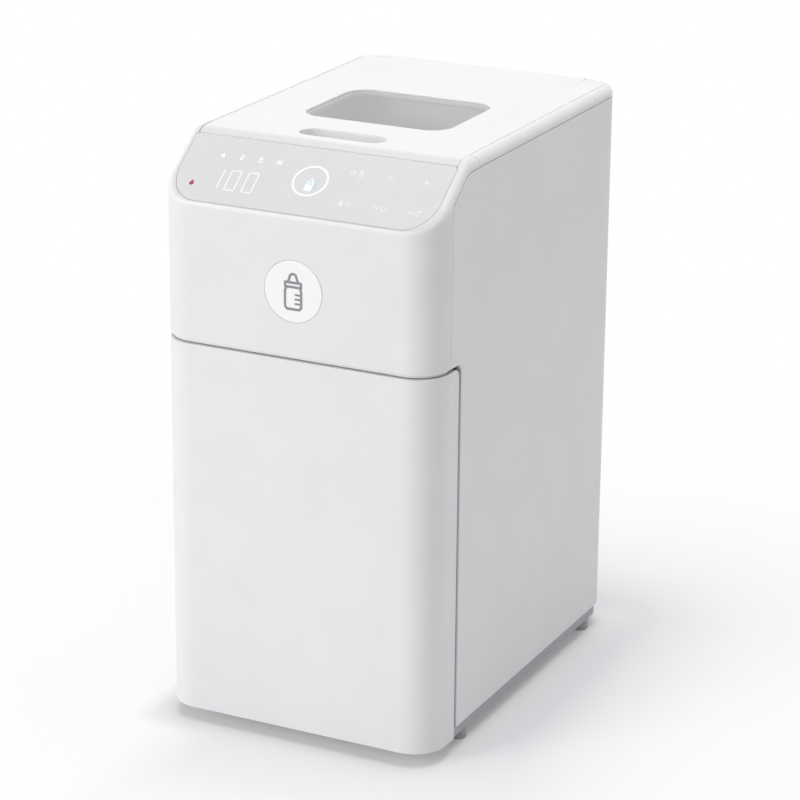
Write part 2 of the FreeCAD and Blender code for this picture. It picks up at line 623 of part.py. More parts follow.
# ------------------------------------------------------------------ mixing and dosing
def mixing_funnel():
    """Funnel with three bayonet lugs and a front tab to twist it by."""
    r = FUNNEL_R
    outer = join(post(r, 0, SPOUT_Y, 213, 220), cone(8, r, 0, SPOUT_Y, 194, 213),
                 post(8.0, 0, SPOUT_Y, 187, 194.1))
    inner = join(post(r - 2, 0, SPOUT_Y, 213.6, 230), cone(5.6, r - 2, 0, SPOUT_Y, 195, 213.7),
                 post(5.6, 0, SPOUT_Y, 180, 195.1))
    lugs = ring_sectors(r - 1, r + 3.4, 217.4, 220.0, (30, 150, 270), 18)
    tab = plan_block(-10, 10, SPOUT_Y - 57, SPOUT_Y - 38.5, 208.6, 211.4, 8, 0)
    web = box(-8, 8, SPOUT_Y - 48, SPOUT_Y - 36.5, 203.5, 211)
    web = web.cut(rod(5.5, V(-10, SPOUT_Y - 48, 204), V(10, SPOUT_Y - 48, 204)))
    return join(outer, tab, web, *lugs).cut(inner)


def ring_sectors(r0, r1, z0, z1, angles, width):
    """Pieces of a ring about the funnel's axis, each centred on its angle."""
    pieces = []
    for angle in angles:
        wedge = Part.makeCylinder(r1, z1 - z0, V(0, 0, z0), V(0, 0, 1), width)
        wedge = wedge.cut(post(r0, 0, 0, z0 - 1, z1 + 1))
        wedge.rotate(V(0, 0, 0), V(0, 0, 1), angle - width / 2)
        wedge.translate(V(0, SPOUT_Y, 0))
        pieces.append(wedge)
    return pieces


def funnel_holder():
    """Bayonet ring under the deck. The lugs enter through notches and turn in its groove."""
    r = FUNNEL_R
    ring = post(r + 7, 0, SPOUT_Y, 214.0, DECK_Z).cut(post(r + 0.4, 0, SPOUT_Y, 213, 230))
    groove = post(r + 3.8, 0, SPOUT_Y, 217.0, 220.4).cut(post(r - 1, 0, SPOUT_Y, 216, 222))
    entries = ring_sectors(r - 1, r + 3.8, 213, 218, (70, 190, 310), 22)
    return ring.cut([groove] + entries)


def deck():
    """Plate over the bay that carries the funnel holder, the dosing unit and the upper pivot."""
    radius = CORNER_R - WALL - 0.2
    half = FRAME_X[0] - 0.2
    plate = plan_block(-INSIDE, INSIDE, FRONT + WALL + 0.2, 56, DECK_Z, DECK_TOP, radius)
    plate = plate.cut(mirror_box(half, 90, PANEL_FACE - 13, 60, DECK_Z - 1, DECK_TOP + 1))
    ears = mirror_box(half - 0.2, INSIDE, PANEL_FACE - 13.1, FRAME_Y[0] - 0.3, DECK_Z, DECK_TOP)
    holes = [post(9.6, 0, DROP_Y, 220, 230), post(5.0, 0, NOZZLE_Y, 220, 230),
             post(SHAFT_R + RUN, 0, SHAFT_Y, 220, 230), post(3.4, MOTOR_X, MOTOR_Y, 220, 230),
             post(4.2, HOSE_X, 30, 220, 230), post(PIVOT_PIN_R, PIVOT_X, PIVOT_Y, 220, 230)]
    return join(plate, ears).cut(holes)


def dosing_housing():
    """Cup that the dosing wheel turns in, with the chute that drops powder into the funnel."""
    cup = post(CUP_R, 0, SHAFT_Y, *HOUSING_Z)
    cup = cup.cut(post(WHEEL_R + 0.4, 0, SHAFT_Y, HOUSING_Z[0] + 2, 260))
    chute = post(9.4, 0, DROP_Y, 216, HOUSING_Z[0] + 0.1)
    legs = []
    for angle in (60, 180, 250, 310):
        a = math.radians(angle)
        legs.append(post(4.0, 38 * math.cos(a), SHAFT_Y + 38 * math.sin(a), DECK_TOP, 237.5))
    shape = join(cup, chute, *legs)
    return shape.cut([post(7.2, 0, DROP_Y, 210, 250), post(SHAFT_R + RUN, 0, SHAFT_Y, 230, 250)])


def dosing_wheel():
    wheel = post(WHEEL_R, 0, SHAFT_Y, *WHEEL_Z).cut(post(SHAFT_R, 0, SHAFT_Y, 230, 260))
    pockets = []
    for i in range(8):
        a = math.radians(45 * i + 22.5)
        pockets.append(post(6.0, POCKET_RING * math.cos(a), SHAFT_Y + POCKET_RING * math.sin(a),
                            WHEEL_Z[0] - 1, WHEEL_Z[1] + 1))
    return wheel.cut(pockets)


def dosing_shaft():
    return join(post(SHAFT_R, 0, SHAFT_Y, DECK_Z + 0.4, 264), cone(SHAFT_R, 2.0, 0, SHAFT_Y, 264, 267))


def agitator():
    """Stirrer over the wheel: a hub with three curved-back arms and upright fingers."""
    shapes = [post(8.0, 0, SHAFT_Y, 250.5, 262)]
    for i in range(3):
        a = math.radians(120 * i + 90)
        tip = V(32 * math.cos(a), SHAFT_Y + 32 * math.sin(a), 254)
        shapes.append(rod(2.4, V(0, SHAFT_Y, 257), tip))
        shapes.append(post(2.0, 28 * math.cos(a), SHAFT_Y + 28 * math.sin(a), 253.5, 276))
    return join(*shapes).cut(post(SHAFT_R, 0, SHAFT_Y, 240, 280))


def gear(teeth, x, y, z0, z1, turn):
    """Spur gear: trapezoid teeth on a root disc, the first tooth pointing along turn degrees."""
    pitch = GEAR_MODULE * teeth / 2
    root = pitch - 1.05 * GEAR_MODULE
    tip = pitch + 0.8 * GEAR_MODULE
    base_half = 0.80 * GEAR_MODULE
    tip_half = 0.36 * GEAR_MODULE
    outline = [V(root - 0.4, -base_half, z0), V(tip, -tip_half, z0), V(tip, tip_half, z0),
               V(root - 0.4, base_half, z0)]
    tooth = Part.Face(rounded_wire(outline, [0, 0.2, 0.2, 0])).extrude(V(0, 0, z1 - z0))
    shapes = []
    for i in range(teeth):
        copy = tooth.copy()
        copy.rotate(V(0, 0, 0), V(0, 0, 1), turn + 360.0 * i / teeth)
        shapes.append(copy)
    wheel = join(post(root, 0, 0, z0, z1), *shapes)
    wheel.translate(V(x, y, 0))
    return wheel


def drive_gear():
    to_pinion = 90 - PINION_DEG
    wheel = gear(GEAR_TEETH, 0, SHAFT_Y, 229.0, 235.0, to_pinion + 180.0 / GEAR_TEETH)
    return wheel.cut(post(SHAFT_R, 0, SHAFT_Y, 220, 240))


def motor_pinion():
    wheel = gear(PINION_TEETH, MOTOR_X, MOTOR_Y, 228.6, 235.4, 270 - PINION_DEG)
    return join(wheel, post(2.5, MOTOR_X, MOTOR_Y, 220.5, 236.4))


def gear_motor():
    can = join(post(12.5, MOTOR_X, MOTOR_Y, 178, 205), post(11.0, MOTOR_X, MOTOR_Y, 205, 216),
               post(12.5, MOTOR_X, MOTOR_Y, 216, DECK_Z - 0.1),
               box(MOTOR_X - 17, MOTOR_X + 17, MOTOR_Y - 6, MOTOR_Y + 6, 221.6, DECK_Z - 0.1),
               post(4.0, MOTOR_X, MOTOR_Y, 175, 178.1))
    return can.cut(post(2.5 + RUN, MOTOR_X, MOTOR_Y, 220, 230))


# ------------------------------------------------------------------ powder and water
def hopper_block(inset, z0, z1):
    return plan_block(-HOPPER_HALF + inset, HOPPER_HALF - inset, HOPPER_Y[0] + inset,
                      HOPPER_Y[1] - inset, z0, z1, 11.0 - inset, 11.0 - inset)


def powder_hopper():
    z0, z1 = HOPPER_Z
    throat = post(35.5, 0, SHAFT_Y, z0 - 1, z0 + 5).cut(box(-12, 12, -38, -11, z0 - 2, z0 + 6))
    return hopper_block(0.0, z0, z1).cut([hopper_block(2.2, z0 + 2.2, z1 + 1), throat])


def hopper_cover():
    z0 = HOPPER_Z[1] + 0.2
    plate = hopper_block(0.0, z0, z0 + 2.2)
    plate = round_edges(plate, 0.8, lambda edge: abs(edge.CenterOfMass.z - z0 - 2.2) < 0.01)
    skirt = hopper_block(2.6, z0 - 3, z0 + 0.1).cut(hopper_block(4.2, z0 - 4, z0 + 0.2))
    tab = join(box(-9, 9, 36, 40, z0 + 2.1, z0 + 7), box(-9, 9, 34, 40, z0 + 5.6, z0 + 7))
    return join(plate, skirt, tab)


def water_tank():
    z0, z1 = TANK_Z
    outer = join(tank_block(0.0, z0, z1), post(7.0, SPIGOT_X, TANK_MID, z0 - 10, z0 + 0.1))
    inner = tank_block(2.2, z0 + 2.2, z1 + 1)
    guide = post(2.6, FLOAT_X, TANK_MID, z0 + 2, z0 + 90)
    return join(outer.cut([inner, post(4.0, SPIGOT_X, TANK_MID, z0 - 20, z0 + 5)]), guide)


def tank_block(inset, z0, z1):
    return plan_block(-TANK_HALF + inset, TANK_HALF - inset, TANK_Y[0] + inset, TANK_Y[1] - inset,
                      z0, z1, 12.0 - inset, 12.0 - inset)


def tank_cap():
    """Lid of the tank with a bow to lift it by."""
    z0 = TANK_Z[1] + 0.2
    plate = tank_block(0.0, z0, z0 + 2.2)
    plate = round_edges(plate, 0.8, lambda edge: abs(edge.CenterOfMass.z - z0 - 2.2) < 0.01)
    y0, y1 = TANK_MID - 7, TANK_MID + 7
    handle = join(box(-16, -13, y0, y1, z0 + 2, z0 + 7), box(13, 16, y0, y1, z0 + 2, z0 + 7),
                  box(-16, 16, y0, y1, z0 + 5.4, z0 + 7.4))
    lip = tank_block(2.6, z0 - 3, z0 + 0.1).cut(tank_block(4.2, z0 - 4, z0 + 0.2))
    return join(plate, handle, lip)


def tank_float():
    z0 = TANK_Z[0] + 2.6
    ring = join(post(11, FLOAT_X, TANK_MID, z0 + 1, z0 + 13), cone(10, 11, FLOAT_X, TANK_MID, z0, z0 + 1),
                cone(11, 10, FLOAT_X, TANK_MID, z0 + 13, z0 + 14))
    return ring.cut(post(3.0, FLOAT_X, TANK_MID, z0 - 1, z0 + 20))


def tank_cradle():
    """Platform on four legs that carries the tank and takes its outlet in a socket."""
    plate = plan_block(-74, 74, TANK_Y[0] - 1, TANK_Y[1] + 1, 57, TANK_Z[0] - 0.2, 12, 12)
    socket = post(13.0, SPIGOT_X, TANK_MID, 44, 58)
    legs = [box(x - 3, x + 3, y - 3, y + 3, 5.0, 57.5) for x in (-70, 70) for y in (64.5, 113.5)]
    outlet = rod(5.5, V(SPIGOT_X, TANK_MID, 50), V(SPIGOT_X + 22, TANK_MID, 50))
    shape = join(plate, socket, outlet, *legs)
    return shape.cut([post(8.2, SPIGOT_X, TANK_MID, 47, 70),
                      rod(3.2, V(SPIGOT_X, TANK_MID, 50), V(SPIGOT_X + 30, TANK_MID, 50))])


def tank_seal():
    return post(8.2, SPIGOT_X, TANK_MID, 53.5, 57.5).cut(post(7.0, SPIGOT_X, TANK_MID, 50, 60))


def water_pump():
    axis = PUMP_Z
    body = join(rod(12, V(6, TANK_MID, axis), V(34, TANK_MID, axis)),
                rod(14, V(34, TANK_MID, axis), V(52, TANK_MID, axis)),
                box(2, 56, TANK_MID - 12, TANK_MID + 12, 5.0, 9.0),
                box(14, 24, TANK_MID - 10, TANK_MID + 10, 8.5, 18),
                box(38, 48, TANK_MID - 10, TANK_MID + 10, 8.5, 14))
    ports = join(rod(4, V(2, TANK_MID, axis), V(6.5, TANK_MID, axis)),
                 rod(4, V(43, TANK_MID - 23, axis), V(43, TANK_MID, axis)))
    return join(body, ports)


def heater_block():
    (x0, x1), (y0, y1), (z0, z1) = HEATER_X, HEATER_Y, HEATER_Z
    block = plan_block(x0, x1, y0, y1, z0, z1, 4, 4)
    fins = [box(x0 - 1.5, x1 + 1.5, y0 + 2, y1 - 2, z, z + 2.5)
            for z in range(int(z0) + 6, int(z1) - 4, 8)]
    legs = [box(x, x + 6, y0 + 6, y1 - 6, 5.0, z0 + 1) for x in (x0 + 2, x1 - 8)]
    ports = [post(4.0, HOSE_X, 30, z1 - 1, z1 + 6), rod(4.0, V(x1 - 1, 30, 52), V(x1 + 6, 30, 52))]
    return join(block, *(fins + legs + ports))


def thermostat():
    x, y, z = sum(HEATER_X) / 2, HEATER_Y[0], 100.0
    return join(rod(8, V(x, y, z), V(x, y - 5.5, z)), box(x - 9, x + 9, y - 1.5, y, z - 4, z + 4))


def tube(points, radius, bend):
    """Tube along straight runs joined by tangent arcs."""
    edges = []
    start = points[0]
    for i in range(1, len(points) - 1):
        corner = points[i]
        back = (points[i - 1] - corner).normalize()
        ahead = (points[i + 1] - corner).normalize()
        half = back.getAngle(ahead) / 2
        reach = bend / math.tan(half)
        middle = corner + (back + ahead).normalize() * (bend / math.sin(half) - bend)
        edges.append(Part.LineSegment(start, corner + back * reach).toShape())
        edges.append(Part.Arc(corner + back * reach, middle, corner + ahead * reach).toShape())
        start = corner + ahead * reach
    edges.append(Part.LineSegment(start, points[-1]).toShape())
    path = Part.Wire(edges)
    ring = Part.Wire([Part.makeCircle(radius, points[0], points[1] - points[0])])
    return path.makePipeShell([ring], True, False)


def tank_hose():
    y, z = TANK_MID, PUMP_Z
    return tube([V(SPIGOT_X + 22, y, 50), V(-6, y, 50), V(-6, y, z), V(2, y, z)], HOSE_R, 7.5)


def pump_hose():
    z = PUMP_Z
    return tube([V(43, TANK_MID - 23, z), V(43, 30, z), V(0, 30, z), V(0, 30, 52), V(-26, 30, 52)],
                HOSE_R, 13)


def nozzle_hose():
    return tube([V(HOSE_X, 30, 136), V(HOSE_X, 30, 240), V(HOSE_X, NOZZLE_Y, 240),
                 V(-7, NOZZLE_Y, 240)], HOSE_R, 14)


def water_nozzle():
    body = join(post(5.0, 0, NOZZLE_Y, 217, 245), cone(2.5, 5.0, 0, NOZZLE_Y, 212, 217),
                rod(3.8, V(-7, NOZZLE_Y, 240), V(0, NOZZLE_Y, 240)),
                post(8.0, 0, NOZZLE_Y, DECK_TOP, 230))
    return body.cut(post(1.4, 0, NOZZLE_Y, 211, 236))


# ------------------------------------------------------------------ electrics
def power_board():
    x = BOARD_X
    board = box(x, x + 1.6, 12, 56, 22, 150)
    parts = [box(x - 20, x, 18, 44, 100, 124), rod(7, V(x, 24, 70), V(x - 24, 24, 70)),
             rod(5, V(x, 42, 78), V(x - 18, 42, 78)), box(x - 10, x, 18, 34, 34, 52),
             box(x - 12, x, 40, 44, 34, 60), box(x - 4, x, 20, 48, 134, 144)]
    standoffs = [box(x + 1.5, FRAME_X[0], y - 3, y + 3, z - 3, z + 3)
                 for y in (16, 52) for z in (28, 144)]
    return join(board, *(parts + standoffs))


def mains_inlet():
    """Appliance inlet: a flanged body with a shaped recess. The lead itself isn't part of it."""
    x, z = INLET_X, SOCKET_Z
    body = join(box(x - 14, x + 14, REAR - 15, REAR - 0.5, z - 10, z + 10),
                box(x - 17, x + 17, REAR - 4.6, REAR - 2.7, z - 11.8, z + 11.8))
    recess = [rod(6.2, V(x + side * 5, REAR - 12.5, z), V(x + side * 5, REAR + 1, z))
              for side in (-1, 1)]
    body = body.cut(recess + [box(x - 5, x + 5, REAR - 12.5, REAR + 1, z - 6.2, z + 6.2)])
    return body.cut(inlet_pins())


def inlet_pins():
    pins = []
    for side in (-1, 1):
        x = INLET_X + side * 4.3
        pins.append(rod(1.2, V(x, REAR - 19, SOCKET_Z), V(x, REAR - 3.5, SOCKET_Z)))
    return Part.makeCompound(pins)


def switch_frame():
    x, z = SWITCH_X, SOCKET_Z
    body = join(box(x - 12, x + 12, REAR - 18, REAR - 0.9, z - 8, z + 8),
                box(x - 15, x + 15, REAR - 4.6, REAR - 2.7, z - 11, z + 11))
    well = box(x - 9.4, x + 9.4, REAR - 12, REAR + 1, z - 6.4, z + 6.4)
    return body.cut([well, rocker_pin(ROCKER_PIN_R + RUN, 11.0)])


def rocker_pin(radius, half):
    return rod(radius, V(SWITCH_X - half, ROCKER_Y, SOCKET_Z), V(SWITCH_X + half, ROCKER_Y, SOCKET_Z))


def switch_rocker():
    """Rocker resting with its upper half pressed in. It turns on its pin, which lies along X."""
    outline = [(-5.2, -5.9), (2.2, -5.9), (0.8, 0), (2.2, 5.9), (-5.2, 5.9)]
    points = [(ROCKER_Y + y, SOCKET_Z + up) for y, up in outline]
    shape = side_prism(points, SWITCH_X - 9, SWITCH_X + 9, [4.5, 0.8, 8, 0.8, 4.5])
    shape.rotate(V(SWITCH_X, ROCKER_Y, SOCKET_Z), V(1, 0, 0), ROCKER_DEG)
    return join(shape, rocker_pin(ROCKER_PIN_R, 10.8))


def case_screws():
    screws = []
    for x, z in REAR_SCREWS:
        head = rod(3.1, V(x, REAR - 1.2, z), V(x, REAR - 0.2, z))
        shank = rod(1.6, V(x, REAR - 5, z), V(x, REAR - 1.1, z))
        cross = join(box(x - 2, x + 2, REAR - 0.7, REAR, z - 0.4, z + 0.4),
                     box(x - 0.4, x + 0.4, REAR - 0.7, REAR, z - 2, z + 2))
        screws.append(join(head, shank).cut(cross))
    return Part.makeCompound(screws)


def build():
    form = outer_form()
    shell = form.cut(outer_form(WALL))
    parts = {
        "base_plinth": plinth(),
        "rubber_feet": feet(),
        "side_panel_right": side_panel(shell, form, 1),
        "side_panel_left": side_panel(shell, form, -1),
        "rear_panel": rear_panel(shell, form),
        "upper_front_casing": upper_front(shell, form),
        "inner_frame_right": inner_frame(1),
        "inner_frame_left": inner_frame(-1),
        "top_frame": top_frame(form),
        "lid": lid(form, outer_form(LID_THICK)),
        "lid_window": window_block(-0.15, WINDOW_Z, TOP - 0.4),
        "lid_seal": lid_seal(),
        "lid_hinge_pin": lid_pin(),
        "control_panel": panel_sheet(),
        "control_board": control_board(),
        "display_module": display_module(),
        "ring_light_guide": ring_guide(),
        "badge_disc": badge_disc(),
        "door_shell": door_shell(shell, form),
        "door_liner": door_liner(),
        "door_pivot_pins": door_pins(),
        "door_strike": door_strike(),
        "door_magnet": door_magnet(),
        "bay_bezel": bay_bezel(),
        "bay_liner": bay_liner(),
        "drip_tray": drip_tray(),
        "drip_grille": drip_grille(),
        "mixing_funnel": mixing_funnel(),
        "funnel_holder": funnel_holder(),
        "bay_deck": deck(),
        "dosing_housing": dosing_housing(),
        "dosing_wheel": dosing_wheel(),
        "dosing_shaft": dosing_shaft(),
        "agitator": agitator(),
        "drive_gear": drive_gear(),
        "motor_pinion": motor_pinion(),
        "gear_motor": gear_motor(),
        "powder_hopper": powder_hopper(),
        "hopper_cover": hopper_cover(),
        "water_tank": water_tank(),
        "tank_cap": tank_cap(),
        "tank_float": tank_float(),
        "tank_cradle": tank_cradle(),
        "tank_seal": tank_seal(),
        "water_pump": water_pump(),
        "heater_block": heater_block(),
        "heater_thermostat": thermostat(),
        "tank_hose": tank_hose(),
        "pump_hose": pump_hose(),
        "nozzle_hose": nozzle_hose(),
        "water_nozzle": water_nozzle(),
        "power_board": power_board(),
        "mains_inlet": mains_inlet(),
        "inlet_pins": inlet_pins(),
        "switch_frame": switch_frame(),
        "switch_rocker": switch_rocker(),
        "case_screws": case_screws(),
    }
    for name, shape in parts.items():
        shape.translate(V(0, -(FRONT + REAR) / 2, FOOT_DROP))
        export(name, shape)


build()
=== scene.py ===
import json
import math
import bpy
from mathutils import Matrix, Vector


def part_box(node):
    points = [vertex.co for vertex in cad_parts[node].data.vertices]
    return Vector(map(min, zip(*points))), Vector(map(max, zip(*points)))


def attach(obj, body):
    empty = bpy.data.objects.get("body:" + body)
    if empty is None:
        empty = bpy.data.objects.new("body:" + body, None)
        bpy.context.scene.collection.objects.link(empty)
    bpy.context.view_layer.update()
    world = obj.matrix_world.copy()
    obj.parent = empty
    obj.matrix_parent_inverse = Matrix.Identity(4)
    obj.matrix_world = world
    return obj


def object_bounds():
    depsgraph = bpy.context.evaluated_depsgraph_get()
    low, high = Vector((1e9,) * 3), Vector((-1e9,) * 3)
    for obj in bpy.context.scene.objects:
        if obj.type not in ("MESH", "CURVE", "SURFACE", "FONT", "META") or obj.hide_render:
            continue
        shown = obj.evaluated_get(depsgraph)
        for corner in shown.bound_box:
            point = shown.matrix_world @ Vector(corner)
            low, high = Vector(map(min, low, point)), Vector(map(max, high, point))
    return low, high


bl_info = {
    "name": "Baby formula maker",
    "version": (1, 0, 0),
    "blender": (4, 5, 0),
    "location": "3D View > Sidebar > Formula",
    "description": "Finishes, printed marks and a studio for a baby formula maker",
    "category": "Object",
}

import bmesh
import bpy
from bpy.props import FloatProperty, FloatVectorProperty, IntProperty, PointerProperty
from mathutils import Matrix, Vector

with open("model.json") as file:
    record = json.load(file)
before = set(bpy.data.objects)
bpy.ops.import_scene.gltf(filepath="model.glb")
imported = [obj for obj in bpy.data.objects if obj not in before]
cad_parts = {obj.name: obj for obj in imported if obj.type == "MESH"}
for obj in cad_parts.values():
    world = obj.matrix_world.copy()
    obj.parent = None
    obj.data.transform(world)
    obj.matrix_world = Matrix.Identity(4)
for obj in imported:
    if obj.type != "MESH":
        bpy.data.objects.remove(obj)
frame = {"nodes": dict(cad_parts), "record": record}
CAD_BOX = [list(corner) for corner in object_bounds()]

MM = 0.001

# ---------------------------------------------------------------- places read from the frame
FRONT = CAD_BOX[0][1]
PANEL_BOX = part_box("control_panel")
BADGE_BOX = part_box("badge_disc")
SLANT = math.radians(37.0)
PANEL_RISE = (PANEL_BOX[1].y - FRONT) / math.cos(SLANT)
DECK_ORIGIN = Vector((0, FRONT, PANEL_BOX[1].z - PANEL_RISE * math.sin(SLANT)))
DECK = Matrix.Translation(DECK_ORIGIN) @ Matrix.Rotation(SLANT, 4, "X")
UPRIGHT = Matrix.Rotation(math.pi / 2, 4, "X")


# ---------------------------------------------------------------- settings
def colour(name, description, default):
    return FloatVectorProperty(name=name, description=description, default=default, size=3,
                               min=0.0, max=1.0, subtype="COLOR")


def length(name, description, default):
    return FloatProperty(name=name, description=description, default=default, min=0.0,
                         subtype="DISTANCE", unit="LENGTH", precision=5)


def factor(name, description, default):
    return FloatProperty(name=name, description=description, default=default, min=0.0, max=1.0,
                         subtype="FACTOR")


class CasingSettings(bpy.types.PropertyGroup):
    shell: colour("Shell", "Colour of the outer casing, the door and the lid", (0.83, 0.822, 0.832))
    sheet: colour("Sheet", "Colour of the control panel's sheet", (0.64, 0.636, 0.643))
    trim: colour("Trim", "Colour of the base and of the frame behind the door", (0.465, 0.455, 0.475))
    # painted shade: the casing's colour is made greyer on faces that slope like the deck, standing in for
    # the dimmer light they get
    deck: factor("Deck shade", "How much greyer the casing is where it slopes like the deck", 0.2)
    gloss: factor("Roughness", "Roughness of the casing", 0.42)
    grain: length("Grain", "Width of one grain of the moulded texture", 0.45 * MM)


class MarkSettings(bpy.types.PropertyGroup):
    lit: colour("Lit marks", "Colour of the lit marks on the control panel", (0.81, 0.81, 0.82))
    glow: FloatProperty(name="Glow", description="Strength of the lit marks", default=0.08, min=0.0)
    blue: colour("Start mark", "Colour of the start mark", (0.76, 0.83, 0.86))
    haze: colour("Haze", "Colour of the sheet round the start mark", (0.53, 0.60, 0.65))
    warn: colour("Refill mark", "Colour of the refill lamp", (0.32, 0.04, 0.075))
    ink: colour("Print", "Colour of the grey print on the badge", (0.27, 0.27, 0.28))
    water: colour("Water mark", "Colour of the drop on the water tank's cap", (0.12, 0.30, 0.55))
    reading: IntProperty(name="Reading", description="Number on the display", default=100,
                         min=0, max=999)
    digit: length("Digit height", "Height of the display's digits", 13.4 * MM)
    stroke: length("Stroke", "Width of a digit's segments", 0.95 * MM)
    ring: length("Start ring", "Radius of the ring round the start mark", 9.9 * MM)


class StageSettings(bpy.types.PropertyGroup):
    azimuth: FloatProperty(name="Azimuth", description="Camera's turn round the object",
                           default=math.radians(26.321), subtype="ANGLE", unit="ROTATION")
    elevation: FloatProperty(name="Elevation", description="Camera's height over the horizon",
                             default=math.radians(19.135), subtype="ANGLE", unit="ROTATION")
    roll: FloatProperty(name="Roll", description="Camera's turn about its own axis",
                        default=math.radians(0.484), subtype="ANGLE", unit="ROTATION")
    distance: length("Distance", "From the camera to the point that it looks at", 1.78136)
    lens: FloatProperty(name="Lens", description="Focal length in millimetres", default=138.62,
                        min=1.0)
    sky: FloatProperty(name="Sky", description="Strength of the even light", default=0.38, min=0.0)
    key: FloatProperty(name="Key", description="Power of the large lamp, front left", default=36.0,
                       min=0.0, unit="POWER")
    top: FloatProperty(name="Top", description="Power of the lamp overhead", default=32.0, min=0.0,
                       unit="POWER")
    floor: colour("Floor", "Colour of the floor near the object", (0.88, 0.872, 0.898))
    shadow: length("Shadow", "How far the shadow keeps its depth, from the object outwards", 0.028)
    fade: length("Fade", "Distance over which the shadow then loses most of its depth", 0.085)
    # front, left and under mix white into the floor as the camera sees it, close to the object: painted
    # light that lightens the object's shadow there
    front: factor("Front", "How far the floor in front of the door is faded to white", 0.28)
    left: factor("Left", "How far the floor on the left is faded to white", 0.85)
    under: factor("Under", "How far the floor under the object is faded to white", 0.17)


# ---------------------------------------------------------------- node helpers
class Finish:
    """A material being built: its tree, its shader, and the place and facing for patterns."""

    def __init__(self, name):
        self.material = bpy.data.materials.new(name)
        self.material.use_nodes = True
        self.tree = self.material.node_tree
        self.shader = self.tree.nodes["Principled BSDF"]
        place = self.tree.nodes.new("ShaderNodeTexCoord").outputs
        self.coords = place["Object"]
        self.facing = place["Normal"]

    def node(self, kind, links=None, **values):
        made = self.tree.nodes.new(kind)
        for key, value in values.items():
            setattr(made, key, value)
        for socket, source in (links or {}).items():
            if hasattr(source, "is_output"):
                self.tree.links.new(source, made.inputs[socket])
            else:
                made.inputs[socket].default_value = source
        return made

    def set(self, **values):
        """Constants on the shader's own sockets; underscores stand for spaces."""
        for key, value in values.items():
            socket = self.shader.inputs[key.replace("_", " ")]
            if socket.type == "RGBA" and len(value) == 3:
                value = (*value, 1.0)
            socket.default_value = value
        return self

    def noise(self, width, detail=3.0, stretch=(1, 1, 1), rough=0.55):
        """Noise whose patches are about width across, in metres."""
        place = self.node("ShaderNodeMapping", {"Vector": self.coords, "Scale": stretch})
        return self.node("ShaderNodeTexNoise", {"Vector": place.outputs["Vector"], "Scale": 1 / width,
                                                "Detail": detail, "Roughness": rough}).outputs["Fac"]

    def ranged(self, source, low, high, start=0.3, end=0.7):
        return self.node("ShaderNodeMapRange", {"Value": source, "From Min": start, "From Max": end,
                                                "To Min": low, "To Max": high}).outputs["Result"]

    def blend(self, source, first, second):
        mix = self.node("ShaderNodeMix", data_type="RGBA")
        for index, value in ((0, source), (6, first), (7, second)):
            if hasattr(value, "is_output"):
                self.tree.links.new(value, mix.inputs[index])
            else:
                mix.inputs[index].default_value = value if index == 0 else (*value[:3], 1.0)
        return mix.outputs[2]

    def paint(self, source):
        self.tree.links.new(source, self.shader.inputs["Base Color"])
        return self

    def roughen(self, source):
        self.tree.links.new(source, self.shader.inputs["Roughness"])
        return self

    def bump(self, height, distance, strength=1.0):
        links = {"Height": height, "Distance": distance, "Strength": strength}
        earlier = self.shader.inputs["Normal"].links
        if earlier:
            links["Normal"] = earlier[0].from_socket
        made = self.node("ShaderNodeBump", links)
        self.tree.links.new(made.outputs["Normal"], self.shader.inputs["Normal"])
        return self


def tint(rgb, amount):
    return tuple(min(1.0, channel * amount) for channel in rgb)


# ---------------------------------------------------------------- finishes
PAINTED_SHADE_FACING = (0.84, 0.98)   # a face's alignment with the deck where the painted shade begins and is full


def moulded(name, rgb, roughness, grain=0.45 * MM, depth=0.012 * MM, cloud=0.02, spread=0.05):
    """Moulded plastic: faint clouds in the colour, uneven gloss and a fine spark-eroded grain."""
    finish = Finish(name)
    clouds = finish.noise(38 * MM, 2.0)
    finish.paint(finish.blend(finish.ranged(clouds, 0, 1), tint(rgb, 1 - cloud), tint(rgb, 1 + cloud / 2)))
    gloss = finish.noise(6 * MM, 4.0)
    finish.roughen(finish.ranged(gloss, roughness - spread, roughness + spread))
    finish.bump(finish.noise(grain, 2.0), depth, 0.6)
    return finish


def casing_plastic(casing):
    """The outer casing's plastic, with painted shade: faces that slope like the deck are made greyer,
    standing in for the dimmer light that falls on them.
    """
    shell = tuple(casing.shell)
    finish = moulded("casing_white", shell, casing.gloss, casing.grain)
    deck = (0.0, -math.sin(SLANT), math.cos(SLANT))
    along = finish.node("ShaderNodeVectorMath", {0: finish.facing, 1: deck}, operation="DOT_PRODUCT")
    # painted shade mask: full on faces turned like the deck, none on the top and the front
    slope = finish.ranged(along.outputs["Value"], 0.0, 1.0, *PAINTED_SHADE_FACING)
    clouds = finish.shader.inputs["Base Color"].links[0].from_socket
    return finish.paint(finish.blend(slope, clouds, tint(shell, 1 - casing.deck)))


def smoked_window():
    finish = moulded("smoked_window", (0.70, 0.70, 0.71), 0.06, depth=0.0)
    return finish.set(Alpha=0.30, IOR=1.49, Specular_IOR_Level=0.5)


def clear_plastic():
    """Clear moulded plastic, faintly blue, with slow flow lines from the mould."""
    finish = Finish("clear_plastic")
    flow = finish.noise(30 * MM, 3.0, (1, 1, 0.35))
    finish.paint(finish.blend(finish.ranged(flow, 0, 1), (0.88, 0.93, 0.96), (0.94, 0.97, 0.985)))
    finish.roughen(finish.ranged(finish.noise(9 * MM), 0.05, 0.11))
    finish.bump(flow, 0.05 * MM, 0.3)
    return finish.set(Transmission_Weight=0.92, IOR=1.49, Alpha=0.55)


